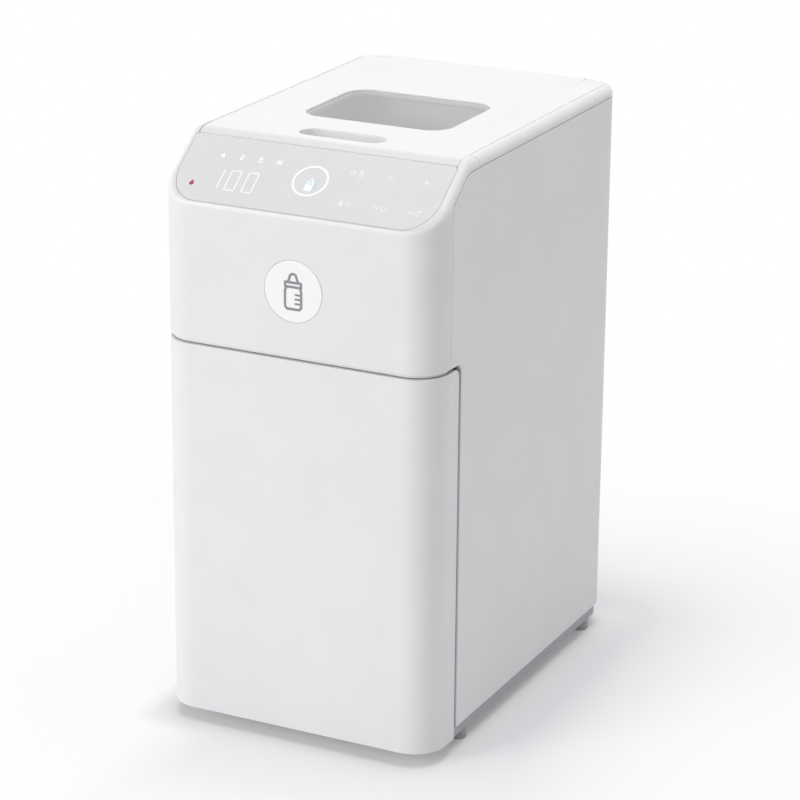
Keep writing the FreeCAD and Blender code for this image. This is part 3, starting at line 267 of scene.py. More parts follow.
def rubber(name, rgb):
    finish = Finish(name)
    dust = finish.noise(4 * MM, 6.0, rough=0.7)
    finish.paint(finish.blend(finish.ranged(dust, 0, 1), tint(rgb, 0.85), tint(rgb, 1.25)))
    finish.roughen(finish.ranged(finish.noise(2 * MM), 0.68, 0.86))
    finish.bump(finish.noise(0.5 * MM, 4.0), 0.03 * MM, 0.7)
    return finish.set(Specular_IOR_Level=0.35, Sheen_Weight=0.08)


def silicone_hose():
    """Milky silicone: soft light inside, faint drawn lines along the tube."""
    finish = Finish("hose_silicone")
    cloud = finish.noise(12 * MM, 3.0)
    finish.paint(finish.blend(finish.ranged(cloud, 0, 1), (0.72, 0.72, 0.69), (0.82, 0.82, 0.79)))
    finish.roughen(finish.ranged(finish.noise(3 * MM), 0.28, 0.42))
    finish.bump(finish.noise(0.8 * MM), 0.02 * MM, 0.4)
    return finish.set(Subsurface_Weight=0.25, Subsurface_Scale=3 * MM)


def turned_metal(name, rgb, roughness, stretch):
    """Metal with fine tool lines. A stretch under 1 draws the lines out along that axis."""
    finish = Finish(name)
    lines = finish.noise(0.35 * MM, 3.0, stretch, 0.6)
    stain = finish.noise(15 * MM, 4.0)
    finish.paint(finish.blend(finish.ranged(stain, 0, 1), tint(rgb, 0.9), rgb))
    finish.roughen(finish.ranged(lines, roughness - 0.08, roughness + 0.1))
    finish.bump(lines, 0.01 * MM, 0.5)
    return finish.set(Metallic=1.0)


def cast_aluminium():
    finish = Finish("heater_aluminium")
    pores = finish.noise(1.2 * MM, 6.0, rough=0.7)
    finish.paint(finish.blend(finish.ranged(pores, 0, 1), (0.50, 0.505, 0.51), (0.68, 0.685, 0.69)))
    finish.roughen(finish.ranged(pores, 0.42, 0.62))
    finish.bump(pores, 0.08 * MM, 0.6)
    return finish.set(Metallic=1.0)


def circuit_board():
    """Green solder mask over a grid of tinned pads and darker tracks."""
    finish = Finish("board_green")
    pads = finish.node("ShaderNodeTexVoronoi", {"Vector": finish.coords, "Scale": 1 / (3.2 * MM),
                                                "Randomness": 0.35}).outputs["Distance"]
    tracks = finish.node("ShaderNodeTexBrick", {"Vector": finish.coords, "Scale": 1 / (9 * MM),
                                                "Mortar Size": 0.03}).outputs["Fac"]
    mask = finish.blend(tracks, (0.015, 0.12, 0.045), (0.03, 0.20, 0.08))
    dot = finish.ranged(pads, 1.0, 0.0, 0.16, 0.2)
    finish.paint(finish.blend(dot, mask, (0.62, 0.60, 0.52)))
    finish.roughen(finish.ranged(finish.noise(2 * MM), 0.3, 0.45))
    finish.bump(dot, 0.05 * MM, 0.6)
    return finish.set(Coat_Weight=0.3, Coat_Roughness=0.2)


def glowing(name, rgb, strength):
    """A lamp behind a printed mark, lit a little unevenly."""
    finish = Finish(name)
    uneven = finish.ranged(finish.noise(5 * MM, 2.0), 0.92, 1.0)
    shade = finish.blend(uneven, tint(rgb, 0.86), rgb)
    finish.paint(shade)
    finish.tree.links.new(shade, finish.shader.inputs["Emission Color"])
    return finish.set(Emission_Strength=strength, Roughness=0.4)


def start_haze(sheet, rgb, centre, radius):
    """The sheet's own colour, turned bluish near a centre and plain again at the radius."""
    finish = Finish("start_haze")
    away = finish.node("ShaderNodeVectorMath", {0: finish.coords, 1: tuple(centre)},
                       operation="DISTANCE").outputs["Value"]
    near = finish.node("ShaderNodeMapRange", {"Value": away, "From Min": radius, "From Max": 0.0},
                       interpolation_type="SMOOTHSTEP").outputs["Result"]
    finish.paint(finish.blend(near, sheet, rgb))
    return finish.set(Roughness=0.34, Coat_Weight=0.25, Coat_Roughness=0.12)


def printed(name, rgb):
    """Screen print: matt ink with a slightly uneven film."""
    finish = Finish(name)
    film = finish.noise(0.9 * MM, 4.0)
    finish.paint(finish.blend(finish.ranged(film, 0, 1), tint(rgb, 0.93), tint(rgb, 1.07)))
    finish.roughen(finish.ranged(film, 0.45, 0.6))
    finish.bump(film, 0.01 * MM, 0.3)
    return finish


def build_finishes(casing):
    """Every slot of the record, by name."""
    trim = tuple(casing.trim)
    liner = (0.72, 0.72, 0.735)
    return {
        "casing_white": casing_plastic(casing),
        "badge_white": moulded("badge_white", (0.97, 0.965, 0.975), 0.24, depth=0.004 * MM),
        "control_sheet": moulded("control_sheet", tuple(casing.sheet), 0.34,
                                 depth=0.004 * MM).set(Coat_Weight=0.25, Coat_Roughness=0.12),
        "trim_grey": moulded("trim_grey", trim, 0.55, 0.6 * MM, 0.02 * MM, 0.05),
        "liner_white": moulded("liner_white", liner, 0.38, 0.6 * MM),
        "frame_grey": moulded("frame_grey", (0.15, 0.15, 0.165), 0.5, 0.8 * MM, 0.02 * MM, 0.06),
        "grille_grey": moulded("grille_grey", (0.23, 0.23, 0.245), 0.42, 0.5 * MM, 0.015 * MM, 0.05),
        "smoked_window": smoked_window(),
        "clear_plastic": clear_plastic(),
        "dosing_plastic": moulded("dosing_plastic", (0.79, 0.79, 0.76), 0.4).set(
            Subsurface_Weight=0.08, Subsurface_Scale=2 * MM),
        "float_plastic": moulded("float_plastic", (0.70, 0.13, 0.05), 0.45, cloud=0.06),
        "rubber_grey": rubber("rubber_grey", (0.40, 0.40, 0.41)),
        "hose_silicone": silicone_hose(),
        "steel": turned_metal("steel", (0.62, 0.62, 0.63), 0.28, (1, 1, 0.08)),
        "magnet": turned_metal("magnet", (0.36, 0.36, 0.38), 0.34, (1, 1, 1)),
        "heater_aluminium": cast_aluminium(),
        "pump_black": moulded("pump_black", (0.012, 0.012, 0.014), 0.5, 0.5 * MM, 0.02 * MM, 0.15),
        "board_green": circuit_board(),
        "light_guide": moulded("light_guide", (0.86, 0.89, 0.92), 0.3).set(
            Subsurface_Weight=0.4, Subsurface_Scale=4 * MM),
        "brass": turned_metal("brass", (0.72, 0.53, 0.22), 0.3, (1, 0.1, 1)),
    }


# ---------------------------------------------------------------- flat shapes, in metres
LAYER = 0.0015 * MM      # step in height between flat shapes of one mesh
LAYERS = 11              # steps before the heights start again
THIN = 0.45 * MM         # line of the smallest marks
FINE = 0.5 * MM          # line of the other small marks
BOLD = 0.75 * MM         # line of the minus and plus marks


def layer(mesh):
    """Height of the next flat shape. Shapes that overlap lie a hair apart, so no two faces meet."""
    return len(mesh.faces) % LAYERS * LAYER


def stroke(mesh, start, end, width):
    """Bar with round ends, from start to end."""
    start, end = Vector((*start, layer(mesh))), Vector((*end, layer(mesh)))
    run = end - start
    verts = bmesh.ops.create_circle(mesh, cap_ends=True, radius=width / 2, segments=16)["verts"]
    bmesh.ops.rotate(mesh, verts=verts, matrix=Matrix.Rotation(math.pi / 16, 3, "Z"))
    ahead = [vert for vert in verts if vert.co.x > 0]
    bmesh.ops.translate(mesh, verts=ahead, vec=(run.length, 0, 0))
    turn = Matrix.Rotation(math.atan2(run.y, run.x), 4, "Z")
    bmesh.ops.transform(mesh, verts=verts, matrix=Matrix.Translation(start) @ turn)


def polyline(mesh, points, width, closed=False):
    ends = points[1:] + points[:1] if closed else points[1:]
    for start, end in zip(points, ends):
        stroke(mesh, start, end, width)


def disc(mesh, centre, radius, segments=24):
    place = Matrix.Translation((*centre, layer(mesh)))
    bmesh.ops.create_circle(mesh, cap_ends=True, radius=radius, segments=segments, matrix=place)


def arc(mesh, centre, radius, width, start=0.0, sweep=360.0, steps=48):
    """Ring, or part of one from start degrees, with round ends."""
    whole = abs(sweep) >= 360
    first = math.radians(start)
    spoke = Vector((math.cos(first), math.sin(first), 0))
    middle = Vector((*centre, layer(mesh)))
    inner = mesh.verts.new(middle + spoke * (radius - width / 2))
    outer = mesh.verts.new(middle + spoke * (radius + width / 2))
    edge = mesh.edges.new((inner, outer))
    bmesh.ops.spin(mesh, geom=[inner, outer, edge], cent=middle, axis=(0, 0, 1),
                   angle=math.radians(sweep), steps=steps, use_merge=whole)
    if not whole:
        for angle in (start, start + sweep):
            turn = math.radians(angle)
            disc(mesh, (centre[0] + radius * math.cos(turn), centre[1] + radius * math.sin(turn)),
                 width / 2, 12)


def drop(mesh, centre, size):
    """Water drop: a disc whose upper half is drawn up to a point."""
    place = Matrix.Translation((*centre, layer(mesh)))
    radius = size * 0.36
    verts = bmesh.ops.create_circle(mesh, cap_ends=True, radius=radius, segments=32)["verts"]
    for vert in verts:
        rise = max(0.0, vert.co.y / radius)
        vert.co.x *= 1 - rise ** 1.6
        vert.co.y += size * 0.34 * rise ** 2
    bmesh.ops.translate(mesh, verts=verts, vec=(0, -size * 0.14, 0))
    bmesh.ops.transform(mesh, verts=verts, matrix=place)


def rectangle(mesh, low, high):
    height = layer(mesh)
    corners = [(low[0], low[1]), (high[0], low[1]), (high[0], high[1]), (low[0], high[1])]
    mesh.faces.new([mesh.verts.new((*corner, height)) for corner in corners])


def bottle(mesh, centre, height, width):
    """Feeding bottle in outline: teat, collar and body with three level lines."""
    x, y = centre
    unit = height / 20

    def at(across, up):
        return (x + across * unit, y + (up - 10) * unit)

    arc(mesh, at(0, 17.4), 2.0 * unit, width, 0, 180, 16)
    stroke(mesh, at(-2.0, 17.4), at(-2.9, 15.0), width)
    stroke(mesh, at(2.0, 17.4), at(2.9, 15.0), width)
    polyline(mesh, [at(-4.6, 14.8), at(4.6, 14.8), at(4.6, 12.4), at(-4.6, 12.4)], width, True)
    body = [at(-4.0, 12.2), at(-4.7, 10.2), at(-4.7, 2.0), at(-3.6, 0.6), at(3.6, 0.6),
            at(4.7, 2.0), at(4.7, 10.2), at(4.0, 12.2)]
    polyline(mesh, body, width)
    for level in (3.6, 6.0, 8.4):
        stroke(mesh, at(1.4, level), at(4.4, level), width * 0.8)


def thermometer(mesh, centre):
    """Stem on a bulb, with one level mark beside it."""
    x, y = centre
    stroke(mesh, (x, y - 0.9 * MM), (x, y + 1.5 * MM), 0.8 * MM)
    disc(mesh, (x, y - 1.1 * MM), 0.9 * MM)
    stroke(mesh, (x + 1.0 * MM, y + 0.9 * MM), (x + 1.7 * MM, y + 0.9 * MM), THIN)


def sun(mesh, centre):
    """Disc inside eight short rays."""
    disc(mesh, centre, 1.15 * MM)
    for turn in range(8):
        angle = turn * math.pi / 4
        ray = Vector((math.cos(angle), math.sin(angle))) * MM
        stroke(mesh, Vector(centre) + ray * 1.75, Vector(centre) + ray * 2.3, THIN)


def clock(mesh, centre):
    """Dial with two hands."""
    x, y = centre
    arc(mesh, centre, 1.5 * MM, FINE)
    polyline(mesh, [(x, y + 0.9 * MM), (x, y), (x + 0.7 * MM, y)], 0.4 * MM)


def level_lines(mesh, centre):
    """Three short lines, one over the other."""
    x, y = centre
    for line in (-1, 0, 1):
        rise = y + line * 1.2 * MM
        stroke(mesh, (x - 1.6 * MM, rise), (x + 1.6 * MM, rise), FINE)


def powder(mesh, centre):
    """Three grains, the middle one higher."""
    x, y = centre
    for across, up in ((-1.2, -0.4), (0.0, 1.0), (1.2, -0.4)):
        disc(mesh, (x + across * MM, y + up * MM), 0.55 * MM, 12)


def bowl(mesh, centre):
    x, y = centre
    corners = ((-1.7, 0.9), (-1.2, -1.2), (1.2, -1.2), (1.7, 0.9))
    polyline(mesh, [(x + across * MM, y + up * MM) for across, up in corners], FINE, True)


def turning_arrow(mesh, centre):
    """Most of a ring, with an upright stroke at its upper end."""
    x, y = centre
    arc(mesh, centre, 1.4 * MM, FINE, 40, 280, 24)
    stroke(mesh, (x + 1.1 * MM, y + 0.9 * MM), (x + 1.1 * MM, y + 2.0 * MM), FINE)


def scoop(mesh):
    """Measuring scoop seen from the side: half a ring, its rim, a handle and powder on top."""
    arc(mesh, (-5 * MM, 0), 6 * MM, 1.3 * MM, 180, 180, 24)
    stroke(mesh, (-11 * MM, 0), (1 * MM, 0), 1.3 * MM)
    stroke(mesh, (1 * MM, 0), (13 * MM, 4.5 * MM), 1.6 * MM)
    for x, y in ((-8, 3.2), (-5, 4.4), (-2, 3.2), (-5, 2.4)):
        disc(mesh, (x * MM, y * MM), 0.8 * MM, 16)


def seven_segments(mesh, digit, x, low, height, wide, width):
    """One digit of the display, its left lower corner at (x, low)."""
    lit = {0: "abcdef", 1: "bc", 2: "abged", 3: "abgcd", 4: "fgbc", 5: "afgcd", 6: "afgedc",
           7: "abc", 8: "abcdefg", 9: "abcdfg"}[digit]
    gap, middle, high = width * 0.62, low + height / 2, low + height
    spans = {
        "a": ((x + gap, high), (x + wide - gap, high)),
        "g": ((x + gap, middle), (x + wide - gap, middle)),
        "d": ((x + gap, low), (x + wide - gap, low)),
        "b": ((x + wide, middle + gap), (x + wide, high - gap)),
        "c": ((x + wide, low + gap), (x + wide, middle - gap)),
        "f": ((x, middle + gap), (x, high - gap)),
        "e": ((x, low + gap), (x, middle - gap)),
    }
    for letter in lit:
        stroke(mesh, *spans[letter], width)


# ---------------------------------------------------------------- pieces
def piece(name, mesh, material, body):
    """Turn a bmesh into a finished object that rides on a body."""
    data = bpy.data.meshes.new(name)
    mesh.to_mesh(data)
    mesh.free()
    data.materials.append(material)
    made = bpy.data.objects.new(name, data)
    bpy.context.collection.objects.link(made)
    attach(made, body)
    return made


def plate(name, mesh, place, thickness, material, body):
    """Give flat shapes a thickness and lay them at a place, half sunk into what is there."""
    bmesh.ops.recalc_face_normals(mesh, faces=mesh.faces)
    for face in mesh.faces:
        if face.normal.z < 0:
            face.normal_flip()
    bmesh.ops.solidify(mesh, geom=mesh.faces[:], thickness=thickness)
    bmesh.ops.recalc_face_normals(mesh, faces=mesh.faces)
    highest = max(vert.co.z for vert in mesh.verts)
    bmesh.ops.translate(mesh, verts=mesh.verts, vec=(0, 0, thickness / 2 - highest))
    bmesh.ops.transform(mesh, verts=mesh.verts, matrix=place)
    return piece(name, mesh, material, body)


FILM = 0.08 * MM         # thickness of a printed or lit mark
ROW_V = 33.6 * MM        # upper row of marks, up the slant
LOW_ROW_V = 12.8 * MM    # lower row
LAMP_X = [x * MM for x in (-68.2, -57.3, -45.7, -34.1, -22.4)]
REFILL_X = -67.7 * MM
KEY_X = [x * MM for x in (24.6, 45.1, 65.6)]
KEY_SHIFT = 1.2 * MM     # the lower row of keys stands this far to the right of the upper one
PAIR = 2.4 * MM          # half the distance between a key's two marks
DASH = 1.5 * MM          # half the length of the minus and plus marks
DIGIT_X = [x * MM for x in (-57.7, -47.2, -36.7)]
DIGIT_LOW = 10.8 * MM
DIGIT_SHAPE = 0.44       # a digit's width over its height
RING_X = 0.3 * MM
RING_V = 24.3 * MM
RING_LINE = 1.3 * MM
START_X = 0.8 * MM       # middle of the start mark
START_V = RING_V - 2.6 * MM
START_HEIGHT = 8.6 * MM
START_LINE = 0.55 * MM
MILK_HALF = Vector((1.9, 1.9)) * MM      # half the size of the filled part in the start mark
MILK_DROP = Vector((0, 1.7)) * MM        # from the mark's middle down to the filled part's
HALO_SHIFT = Vector((1.2, 1.6)) * MM     # from the mark's middle to the disc that carries the haze
HALO_R = 6.4 * MM
HAZE_SHIFT = Vector((1.6, 0.6)) * MM     # from the mark's middle to the haze's
HAZE_R = 6.6 * MM        # where the haze ends
TINTED_GLOW = 0.12       # strength of the refill lamp and of the start mark
BADGE_HEIGHT = 21.0 * MM             # the bottle on the badge
BADGE_LINE = 1.5 * MM
COVER_RISE = 4.8 * MM    # from the hopper cover's face to the top of its tab
SCOOP_Y = 30 * MM        # from the hopper cover's front edge to the scoop
RELIEF = 0.8 * MM        # thickness of the scoop
CAP_RISE = 5.2 * MM      # from the tank cap's face to the top of its bow
CAP_DROP_X = 34 * MM     # from the tank cap's left edge to the drop
CAP_DROP = 15 * MM       # size of the drop
TAB_DROP = 8.6 * MM      # from the funnel's rim down to its tab
GRIP_HALVES = [x * MM for x in (5.5, 6.5, 6.5, 6.5)]     # half lengths of the ridges on the tab
GRIP_START = 2.6 * MM    # from the tab's end to the first ridge
GRIP_STEP = 2.2 * MM
GRIP_LINE = 0.9 * MM
ROCKER_IN = 4.0 * MM     # from the rear face to the rocker's axis
ROCKER_REST = math.radians(8)        # the rocker's tilt at rest
HALF_SLOPE = math.radians(13.35)     # slope of each half of the rocker's face
HALF_OUT = 1.6 * MM      # from the rocker's axis out to its face
HALF_RISE = 3.6 * MM     # from the rocker's axis to the middle of each half
SWITCH_MARK = 1.2 * MM   # half the height of the marks on the rocker


class FORMULA_OT_finishes(bpy.types.Operator):
    """Give every carried-over part of the machine its finish"""
    bl_idname = "formula.finishes"
    bl_label = "Finishes"

    def execute(self, context):
        finishes = build_finishes(context.scene.formula_casing)
        slots = {row["node"]: row["material_slot"] for row in frame["record"]["subparts"]}
        for name, node in frame["nodes"].items():
            node.material_slots[0].material = finishes[slots[name]].material
        return {"FINISHED"}


class FORMULA_OT_display(bpy.types.Operator):
    """Light the number on the display"""
    bl_idname = "formula.display"
    bl_label = "Display"

    def execute(self, context):
        marks = context.scene.formula_marks
        lit = glowing("lit_digits", tint(marks.lit, 0.95), marks.glow).material
        mesh = bmesh.new()
        wide = marks.digit * DIGIT_SHAPE
        for x, digit in zip(DIGIT_X, f"{marks.reading:3d}"):
            if digit.strip():
                seven_segments(mesh, int(digit), x, DIGIT_LOW, marks.digit, wide, marks.stroke)
        plate("display_digits", mesh, DECK, FILM, lit, "housing")
        return {"FINISHED"}


class FORMULA_OT_lamps(bpy.types.Operator):
    """Light the small marks over the display and the refill lamp beside it"""
    bl_idname = "formula.lamps"
    bl_label = "Lamps"

    def execute(self, context):
        marks = context.scene.formula_marks
        lit = glowing("lit_white", tuple(marks.lit), marks.glow).material
        faint = printed("unlit_mark", (0.67, 0.67, 0.675)).material
        night = bmesh.new()
        arc(night, (LAMP_X[0], ROW_V), 1.3 * MM, FINE, 60, 240, 20)
        plate("lamp_night", night, DECK, FILM, faint, "housing")
        shapes = bmesh.new()
        drop(shapes, (LAMP_X[1], ROW_V), 3.4 * MM)
        thermometer(shapes, (LAMP_X[2], ROW_V))
        bottle(shapes, (LAMP_X[3], ROW_V), 4.0 * MM, THIN)
        sun(shapes, (LAMP_X[4], ROW_V))
        plate("status_lamps", shapes, DECK, FILM, lit, "housing")
        refill = bmesh.new()
        drop(refill, (REFILL_X, LOW_ROW_V), 4.0 * MM)
        red = glowing("lit_red", tuple(marks.warn), TINTED_GLOW).material
        plate("refill_lamp", refill, DECK, FILM, red, "housing")
        return {"FINISHED"}


class FORMULA_OT_start_ring(bpy.types.Operator):
    """Make the lit ring with the start mark inside it"""
    bl_idname = "formula.start_ring"
    bl_label = "Start ring"

    def execute(self, context):
        marks = context.scene.formula_marks
        lit = bpy.data.materials["lit_white"]
        ring = bmesh.new()
        arc(ring, (RING_X, RING_V), marks.ring, RING_LINE, steps=96)
        plate("start_ring", ring, DECK, FILM, lit, "housing")
        middle = Vector((START_X, START_V))
        halo = bmesh.new()
        disc(halo, middle + HALO_SHIFT, HALO_R, 48)
        centre = DECK @ (middle + HAZE_SHIFT).to_3d()
        sheet = tuple(context.scene.formula_casing.sheet)
        haze = start_haze(sheet, tuple(marks.haze), centre, HAZE_R)
        plate("start_haze", halo, DECK, FILM / 2, haze.material, "housing")
        start = bmesh.new()
        bottle(start, middle, START_HEIGHT, START_LINE)
        milk = middle - MILK_DROP
        rectangle(start, milk - MILK_HALF, milk + MILK_HALF)
        blue = glowing("lit_blue", tuple(marks.blue), TINTED_GLOW).material
        plate("start_mark", start, DECK, FILM, blue, "housing")
        return {"FINISHED"}


class FORMULA_OT_keys(bpy.types.Operator):
    """Print the marks of the touch keys"""
    bl_idname = "formula.keys"
    bl_label = "Touch keys"

    def execute(self, context):
        mesh = bmesh.new()
        first, minus, plus = KEY_X
        clock(mesh, (first - 2.3 * MM, ROW_V))
        bottle(mesh, (first + PAIR, ROW_V), 4.4 * MM, THIN)
        stroke(mesh, (minus - DASH, ROW_V), (minus + DASH, ROW_V), BOLD)
        stroke(mesh, (plus - DASH, ROW_V), (plus + DASH, ROW_V), BOLD)
        stroke(mesh, (plus, ROW_V - DASH), (plus, ROW_V + DASH), BOLD)
        water, feed, clean = [x + KEY_SHIFT for x in KEY_X]
        drop(mesh, (water - PAIR, LOW_ROW_V), 3.6 * MM)
        level_lines(mesh, (water + PAIR, LOW_ROW_V))
        powder(mesh, (feed - PAIR, LOW_ROW_V))
        bowl(mesh, (feed + PAIR, LOW_ROW_V))
        left = clean - PAIR
        stroke(mesh, (left - DASH, LOW_ROW_V), (left + DASH, LOW_ROW_V), 0.7 * MM)
        turning_arrow(mesh, (clean + PAIR, LOW_ROW_V))
        white = printed("key_white", (0.78, 0.775, 0.785)).material
        plate("key_marks", mesh, DECK, FILM, white, "housing")
        return {"FINISHED"}


class FORMULA_OT_badge(bpy.types.Operator):
    """Print a plain feeding bottle on the round badge"""
    bl_idname = "formula.badge"
    bl_label = "Badge"

    def execute(self, context):
        marks = context.scene.formula_marks
        mesh = bmesh.new()
        bottle(mesh, (0, 0), BADGE_HEIGHT, BADGE_LINE)
        centre = (BADGE_BOX[0] + BADGE_BOX[1]) / 2
        place = Matrix.Translation((0, BADGE_BOX[0].y, centre.z)) @ UPRIGHT
        grey = printed("print_grey", tuple(marks.ink)).material
        plate("badge_print", mesh, place, FILM, grey, "housing")
        return {"FINISHED"}


class FORMULA_OT_covers(bpy.types.Operator):
    """Raise a scoop on the powder hopper's cover and print a drop on the water tank's cap"""
    bl_idname = "formula.covers"
    bl_label = "Cover marks"

    def execute(self, context):
        marks = context.scene.formula_marks
        low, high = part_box("hopper_cover")
        mesh = bmesh.new()
        scoop(mesh)
        place = Matrix.Translation(((low.x + high.x) / 2, low.y + SCOOP_Y, high.z - COVER_RISE))
        shell = bpy.data.materials["casing_white"]
        plate("cover_scoop", mesh, place, RELIEF, shell, "housing")
        low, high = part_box("tank_cap")
        water = bmesh.new()
        drop(water, (0, 0), CAP_DROP)
        centre = (low.y + high.y) / 2
        place = Matrix.Translation((low.x + CAP_DROP_X, centre, high.z - CAP_RISE))
        blue = printed("print_blue", tuple(marks.water)).material
        plate("cap_drop", water, place, FILM, blue, "housing")
        return {"FINISHED"}


class FORMULA_OT_switch_marks(bpy.types.Operator):
    """Print the on and off marks on the rocker, which rests with its upper half pressed in"""
    bl_idname = "formula.switch_marks"
    bl_label = "Switch marks"

    def execute(self, context):
        low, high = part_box("switch_rocker")
        axis = Vector(((low.x + high.x) / 2, CAD_BOX[1][1] - ROCKER_IN, (low.z + high.z) / 2))
        white = printed("print_white", (0.85, 0.85, 0.85)).material
        rest = Matrix.Translation(axis) @ Matrix.Rotation(ROCKER_REST, 4, "X")
        behind = Matrix.Rotation(math.pi, 4, "Z") @ UPRIGHT
        for name, side in (("mark_on", 1), ("mark_off", -1)):
            mesh = bmesh.new()
            if side > 0:
                stroke(mesh, (0, -SWITCH_MARK), (0, SWITCH_MARK), 0.55 * MM)
            else:
                arc(mesh, (0, 0), SWITCH_MARK, FINE)
            lean = Matrix.Rotation(-side * HALF_SLOPE, 4, "X")
            place = rest @ Matrix.Translation((0, HALF_OUT, side * HALF_RISE)) @ lean @ behind
            plate(name, mesh, place, FILM, white, "rocker")
        return {"FINISHED"}


class FORMULA_OT_grips(bpy.types.Operator):
    """Put grip ridges on the tab that twists the funnel"""
    bl_idname = "formula.grips"
    bl_label = "Grip ridges"

    def execute(self, context):
        low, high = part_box("mixing_funnel")
        mesh = bmesh.new()
        for step, half in enumerate(GRIP_HALVES):
            y = low.y + GRIP_START + step * GRIP_STEP
            stroke(mesh, (-half, y), (half, y), GRIP_LINE)
        place = Matrix.Translation((0, 0, high.z - TAB_DROP))
        clear = bpy.data.materials["clear_plastic"]
        plate("funnel_grips", mesh, place, GRIP_LINE, clear, "funnel")
        return {"FINISHED"}


AIM = Vector((0.0066, -0.0078, 0.1702))      # point that the camera and the lamps look at
KEY_PLACE = (-1.7, -2.4, 0.9)
KEY_SIZE = 1.5
TOP_PLACE = (0.1, 0.1, 2.4)
TOP_SIZE = 1.6
FLOOR_R = 9.0
AHEAD_Y = (FRONT - 0.01, FRONT + 0.06)       # over these the painted light in front of the door dies out
LEFT_X = (CAD_BOX[0][0], -0.02)              # over these the painted light on the left dies out
CONTACT = 0.018          # width of the shadow kept along the footprint on the left
UNDER_REACH = (0.004, 0.02)      # from the footprint, where the painted light that lightens the shadow under the object dies out


class FORMULA_OT_stage(bpy.types.Operator):
    """Set up the floor, the lamps and the camera"""
    bl_idname = "formula.stage"
    bl_label = "Studio"

    def execute(self, context):
        stage = context.scene.formula_stage
        make_floor(stage)
        make_sky(stage)
        make_lamp("key_lamp", KEY_PLACE, KEY_SIZE, stage.key)
        make_lamp("top_lamp", TOP_PLACE, TOP_SIZE, stage.top)
        make_camera(stage)
        return {"FINISHED"}


def make_floor(stage):
    """Pale floor that fades to white further out. Near the object its shadow is partly lightened with
    painted light: under the object, in front of the door, and on the left beyond a narrow contact shadow.
    """
    mesh = bmesh.new()
    bmesh.ops.create_circle(mesh, cap_ends=True, radius=FLOOR_R, segments=96)
    data = bpy.data.meshes.new("floor")
    mesh.to_mesh(data)
    mesh.free()
    floor = bpy.data.objects.new("floor", data)
    bpy.context.collection.objects.link(floor)
    finish = moulded("floor_pale", tuple(stage.floor), 0.6, depth=0.0, cloud=0.004)
    tree = finish.tree

    def maths(operation, first, second=0.0):
        return finish.node("ShaderNodeMath", {0: first, 1: second}, operation=operation).outputs[0]

    def vectors(operation, first, second=(0, 0, 0)):
        return finish.node("ShaderNodeVectorMath", {0: first, 1: second}, operation=operation).outputs

    half = Vector((CAD_BOX[1][0], CAD_BOX[1][1], 0))
    over = vectors("SUBTRACT", vectors("ABSOLUTE", finish.coords)[0], half)[0]
    reach = vectors("LENGTH", vectors("MAXIMUM", over)[0])["Value"]
    place = finish.node("ShaderNodeSeparateXYZ", {"Vector": finish.coords}).outputs
    ahead = finish.ranged(place["Y"], 1.0, 0.0, *AHEAD_Y)
    left = finish.ranged(place["X"], 1.0, 0.0, *LEFT_X)
    depth = maths("DIVIDE", maths("MAXIMUM", maths("SUBTRACT", reach, stage.shadow)), -stage.fade)
    backdrop_and_painted_light = maths("SUBTRACT", 1.0, maths("EXPONENT", depth))
    # painted light: white mixed into the floor in front of the door, and on the left beyond a narrow
    # contact shadow, lightens the object's shadow there
    backdrop_and_painted_light = maths("MAXIMUM", backdrop_and_painted_light, maths("MULTIPLY", ahead, stage.front))
    clear = finish.ranged(reach, 0.0, 1.0, 0.0, CONTACT)
    backdrop_and_painted_light = maths("MAXIMUM", backdrop_and_painted_light, maths("MULTIPLY", maths("MULTIPLY", left, clear), stage.left))
    # painted light: white mixed in under the object and close along its footprint lightens the shadow
    # there
    backdrop_and_painted_light = maths("MAXIMUM", backdrop_and_painted_light, finish.ranged(reach, stage.under, 0.0, *UNDER_REACH))
    path = finish.node("ShaderNodeLightPath").outputs
    seen = maths("MAXIMUM", path["Is Camera Ray"], path["Is Glossy Ray"])
    backdrop_and_painted_light = maths("MULTIPLY", backdrop_and_painted_light, maths("MAXIMUM", seen, path["Is Transmission Ray"]))
    white = finish.node("ShaderNodeEmission", {"Color": (1, 1, 1, 1), "Strength": 1.0})
    mix = finish.node("ShaderNodeMixShader", {0: backdrop_and_painted_light, 1: finish.shader.outputs[0],
                                              2: white.outputs[0]})
    tree.links.new(mix.outputs[0], tree.nodes["Material Output"].inputs["Surface"])
    data.materials.append(finish.material)


def make_sky(stage):
    """Even light from all round that the camera, metal and glass see as plain white."""
    world = bpy.data.worlds.new("sky")
    world.use_nodes = True
    bpy.context.scene.world = world
    tree = world.node_tree
    base = tree.nodes["Background"]
    base.inputs["Color"].default_value = (1.0, 1.0, 1.0, 1.0)
    base.inputs["Strength"].default_value = stage.sky
    white = tree.nodes.new("ShaderNodeBackground")
    white.inputs["Strength"].default_value = 1.0
    white.inputs["Color"].default_value = (1.0, 1.0, 1.0, 1.0)
    path = tree.nodes.new("ShaderNodeLightPath").outputs
    seen = path["Is Camera Ray"]
    for name in ("Is Glossy Ray", "Is Transmission Ray"):
        larger = tree.nodes.new("ShaderNodeMath")
        larger.operation = "MAXIMUM"
        tree.links.new(seen, larger.inputs[0])
        tree.links.new(path[name], larger.inputs[1])
        seen = larger.outputs[0]
    mix = tree.nodes.new("ShaderNodeMixShader")
    tree.links.new(seen, mix.inputs[0])
    tree.links.new(base.outputs[0], mix.inputs[1])
    tree.links.new(white.outputs[0], mix.inputs[2])
    tree.links.new(mix.outputs[0], tree.nodes["World Output"].inputs["Surface"])


def make_lamp(name, place, size, power):
    data = bpy.data.lights.new(name, "AREA")
    data.shape = "DISK"
    data.size = size
    data.energy = power
    lamp = bpy.data.objects.new(name, data)
    lamp.location = place
    lamp.rotation_euler = (AIM - Vector(place)).to_track_quat("-Z", "Y").to_euler()
    bpy.context.collection.objects.link(lamp)


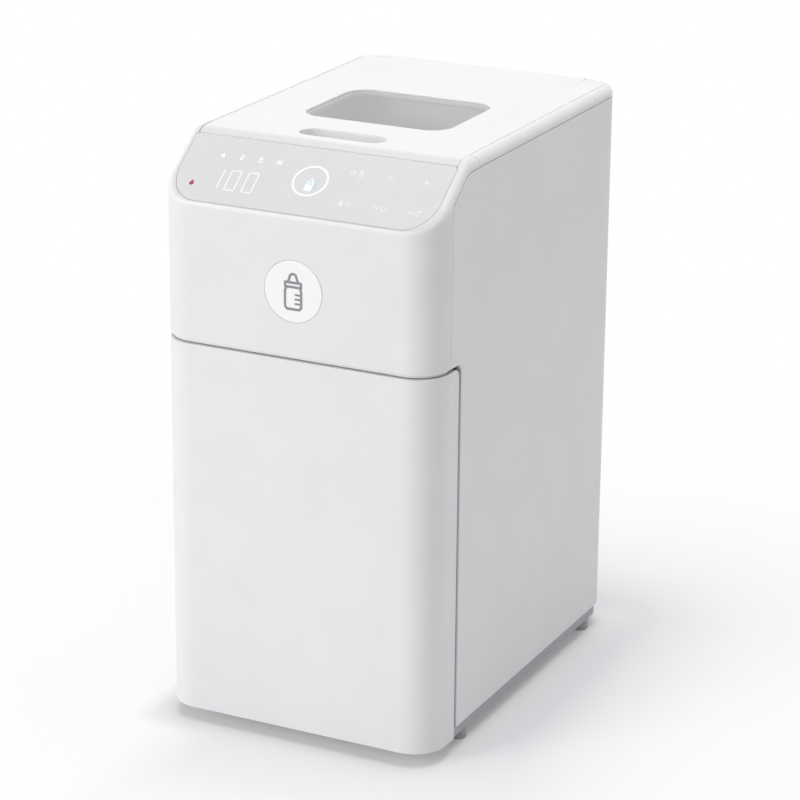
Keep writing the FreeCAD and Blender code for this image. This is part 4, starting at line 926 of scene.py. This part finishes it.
def make_camera(stage):
    data = bpy.data.cameras.new("camera")
    data.sensor_width = 36.0
    data.lens = stage.lens
    turn = Matrix.Rotation(stage.azimuth, 4, "Z") \
        @ Matrix.Rotation(math.pi / 2 - stage.elevation, 4, "X") \
        @ Matrix.Rotation(stage.roll, 4, "Z")
    camera = bpy.data.objects.new("camera", data)
    camera.matrix_world = Matrix.Translation(AIM) @ turn @ Matrix.Translation((0, 0, stage.distance))
    bpy.context.collection.objects.link(camera)
    bpy.context.scene.camera = camera


class FORMULA_PT_sidebar(bpy.types.Panel):
    """Buttons that build the machine's looks, piece by piece"""
    bl_idname = "FORMULA_PT_sidebar"
    bl_label = "Baby formula maker"
    bl_space_type = "VIEW_3D"
    bl_region_type = "UI"
    bl_category = "Formula"

    def draw(self, context):
        scene = context.scene
        for group in (scene.formula_casing, scene.formula_marks, scene.formula_stage):
            box = self.layout.box()
            for name in group.bl_rna.properties.keys():
                if name not in ("rna_type", "name"):
                    box.prop(group, name)
        for operator in OPERATORS:
            self.layout.operator(operator.bl_idname)


SETTINGS = {"formula_casing": CasingSettings, "formula_marks": MarkSettings,
            "formula_stage": StageSettings}
OPERATORS = (FORMULA_OT_finishes, FORMULA_OT_display, FORMULA_OT_lamps, FORMULA_OT_start_ring,
             FORMULA_OT_keys, FORMULA_OT_badge, FORMULA_OT_covers, FORMULA_OT_switch_marks,
             FORMULA_OT_grips, FORMULA_OT_stage)


def register():
    for group in SETTINGS.values():
        bpy.utils.register_class(group)
    for name, group in SETTINGS.items():
        setattr(bpy.types.Scene, name, PointerProperty(type=group))
    for operator in OPERATORS:
        bpy.utils.register_class(operator)
    bpy.utils.register_class(FORMULA_PT_sidebar)


def unregister():
    bpy.utils.unregister_class(FORMULA_PT_sidebar)
    for operator in reversed(OPERATORS):
        bpy.utils.unregister_class(operator)
    for name in SETTINGS:
        delattr(bpy.types.Scene, name)
    for group in reversed(SETTINGS.values()):
        bpy.utils.unregister_class(group)


def main():
    register()
    bpy.context.scene.view_settings.view_transform = "Standard"
    for operator in OPERATORS:
        group, name = operator.bl_idname.split(".")
        getattr(getattr(bpy.ops, group), name)()


if __name__ == "__main__":
    main()
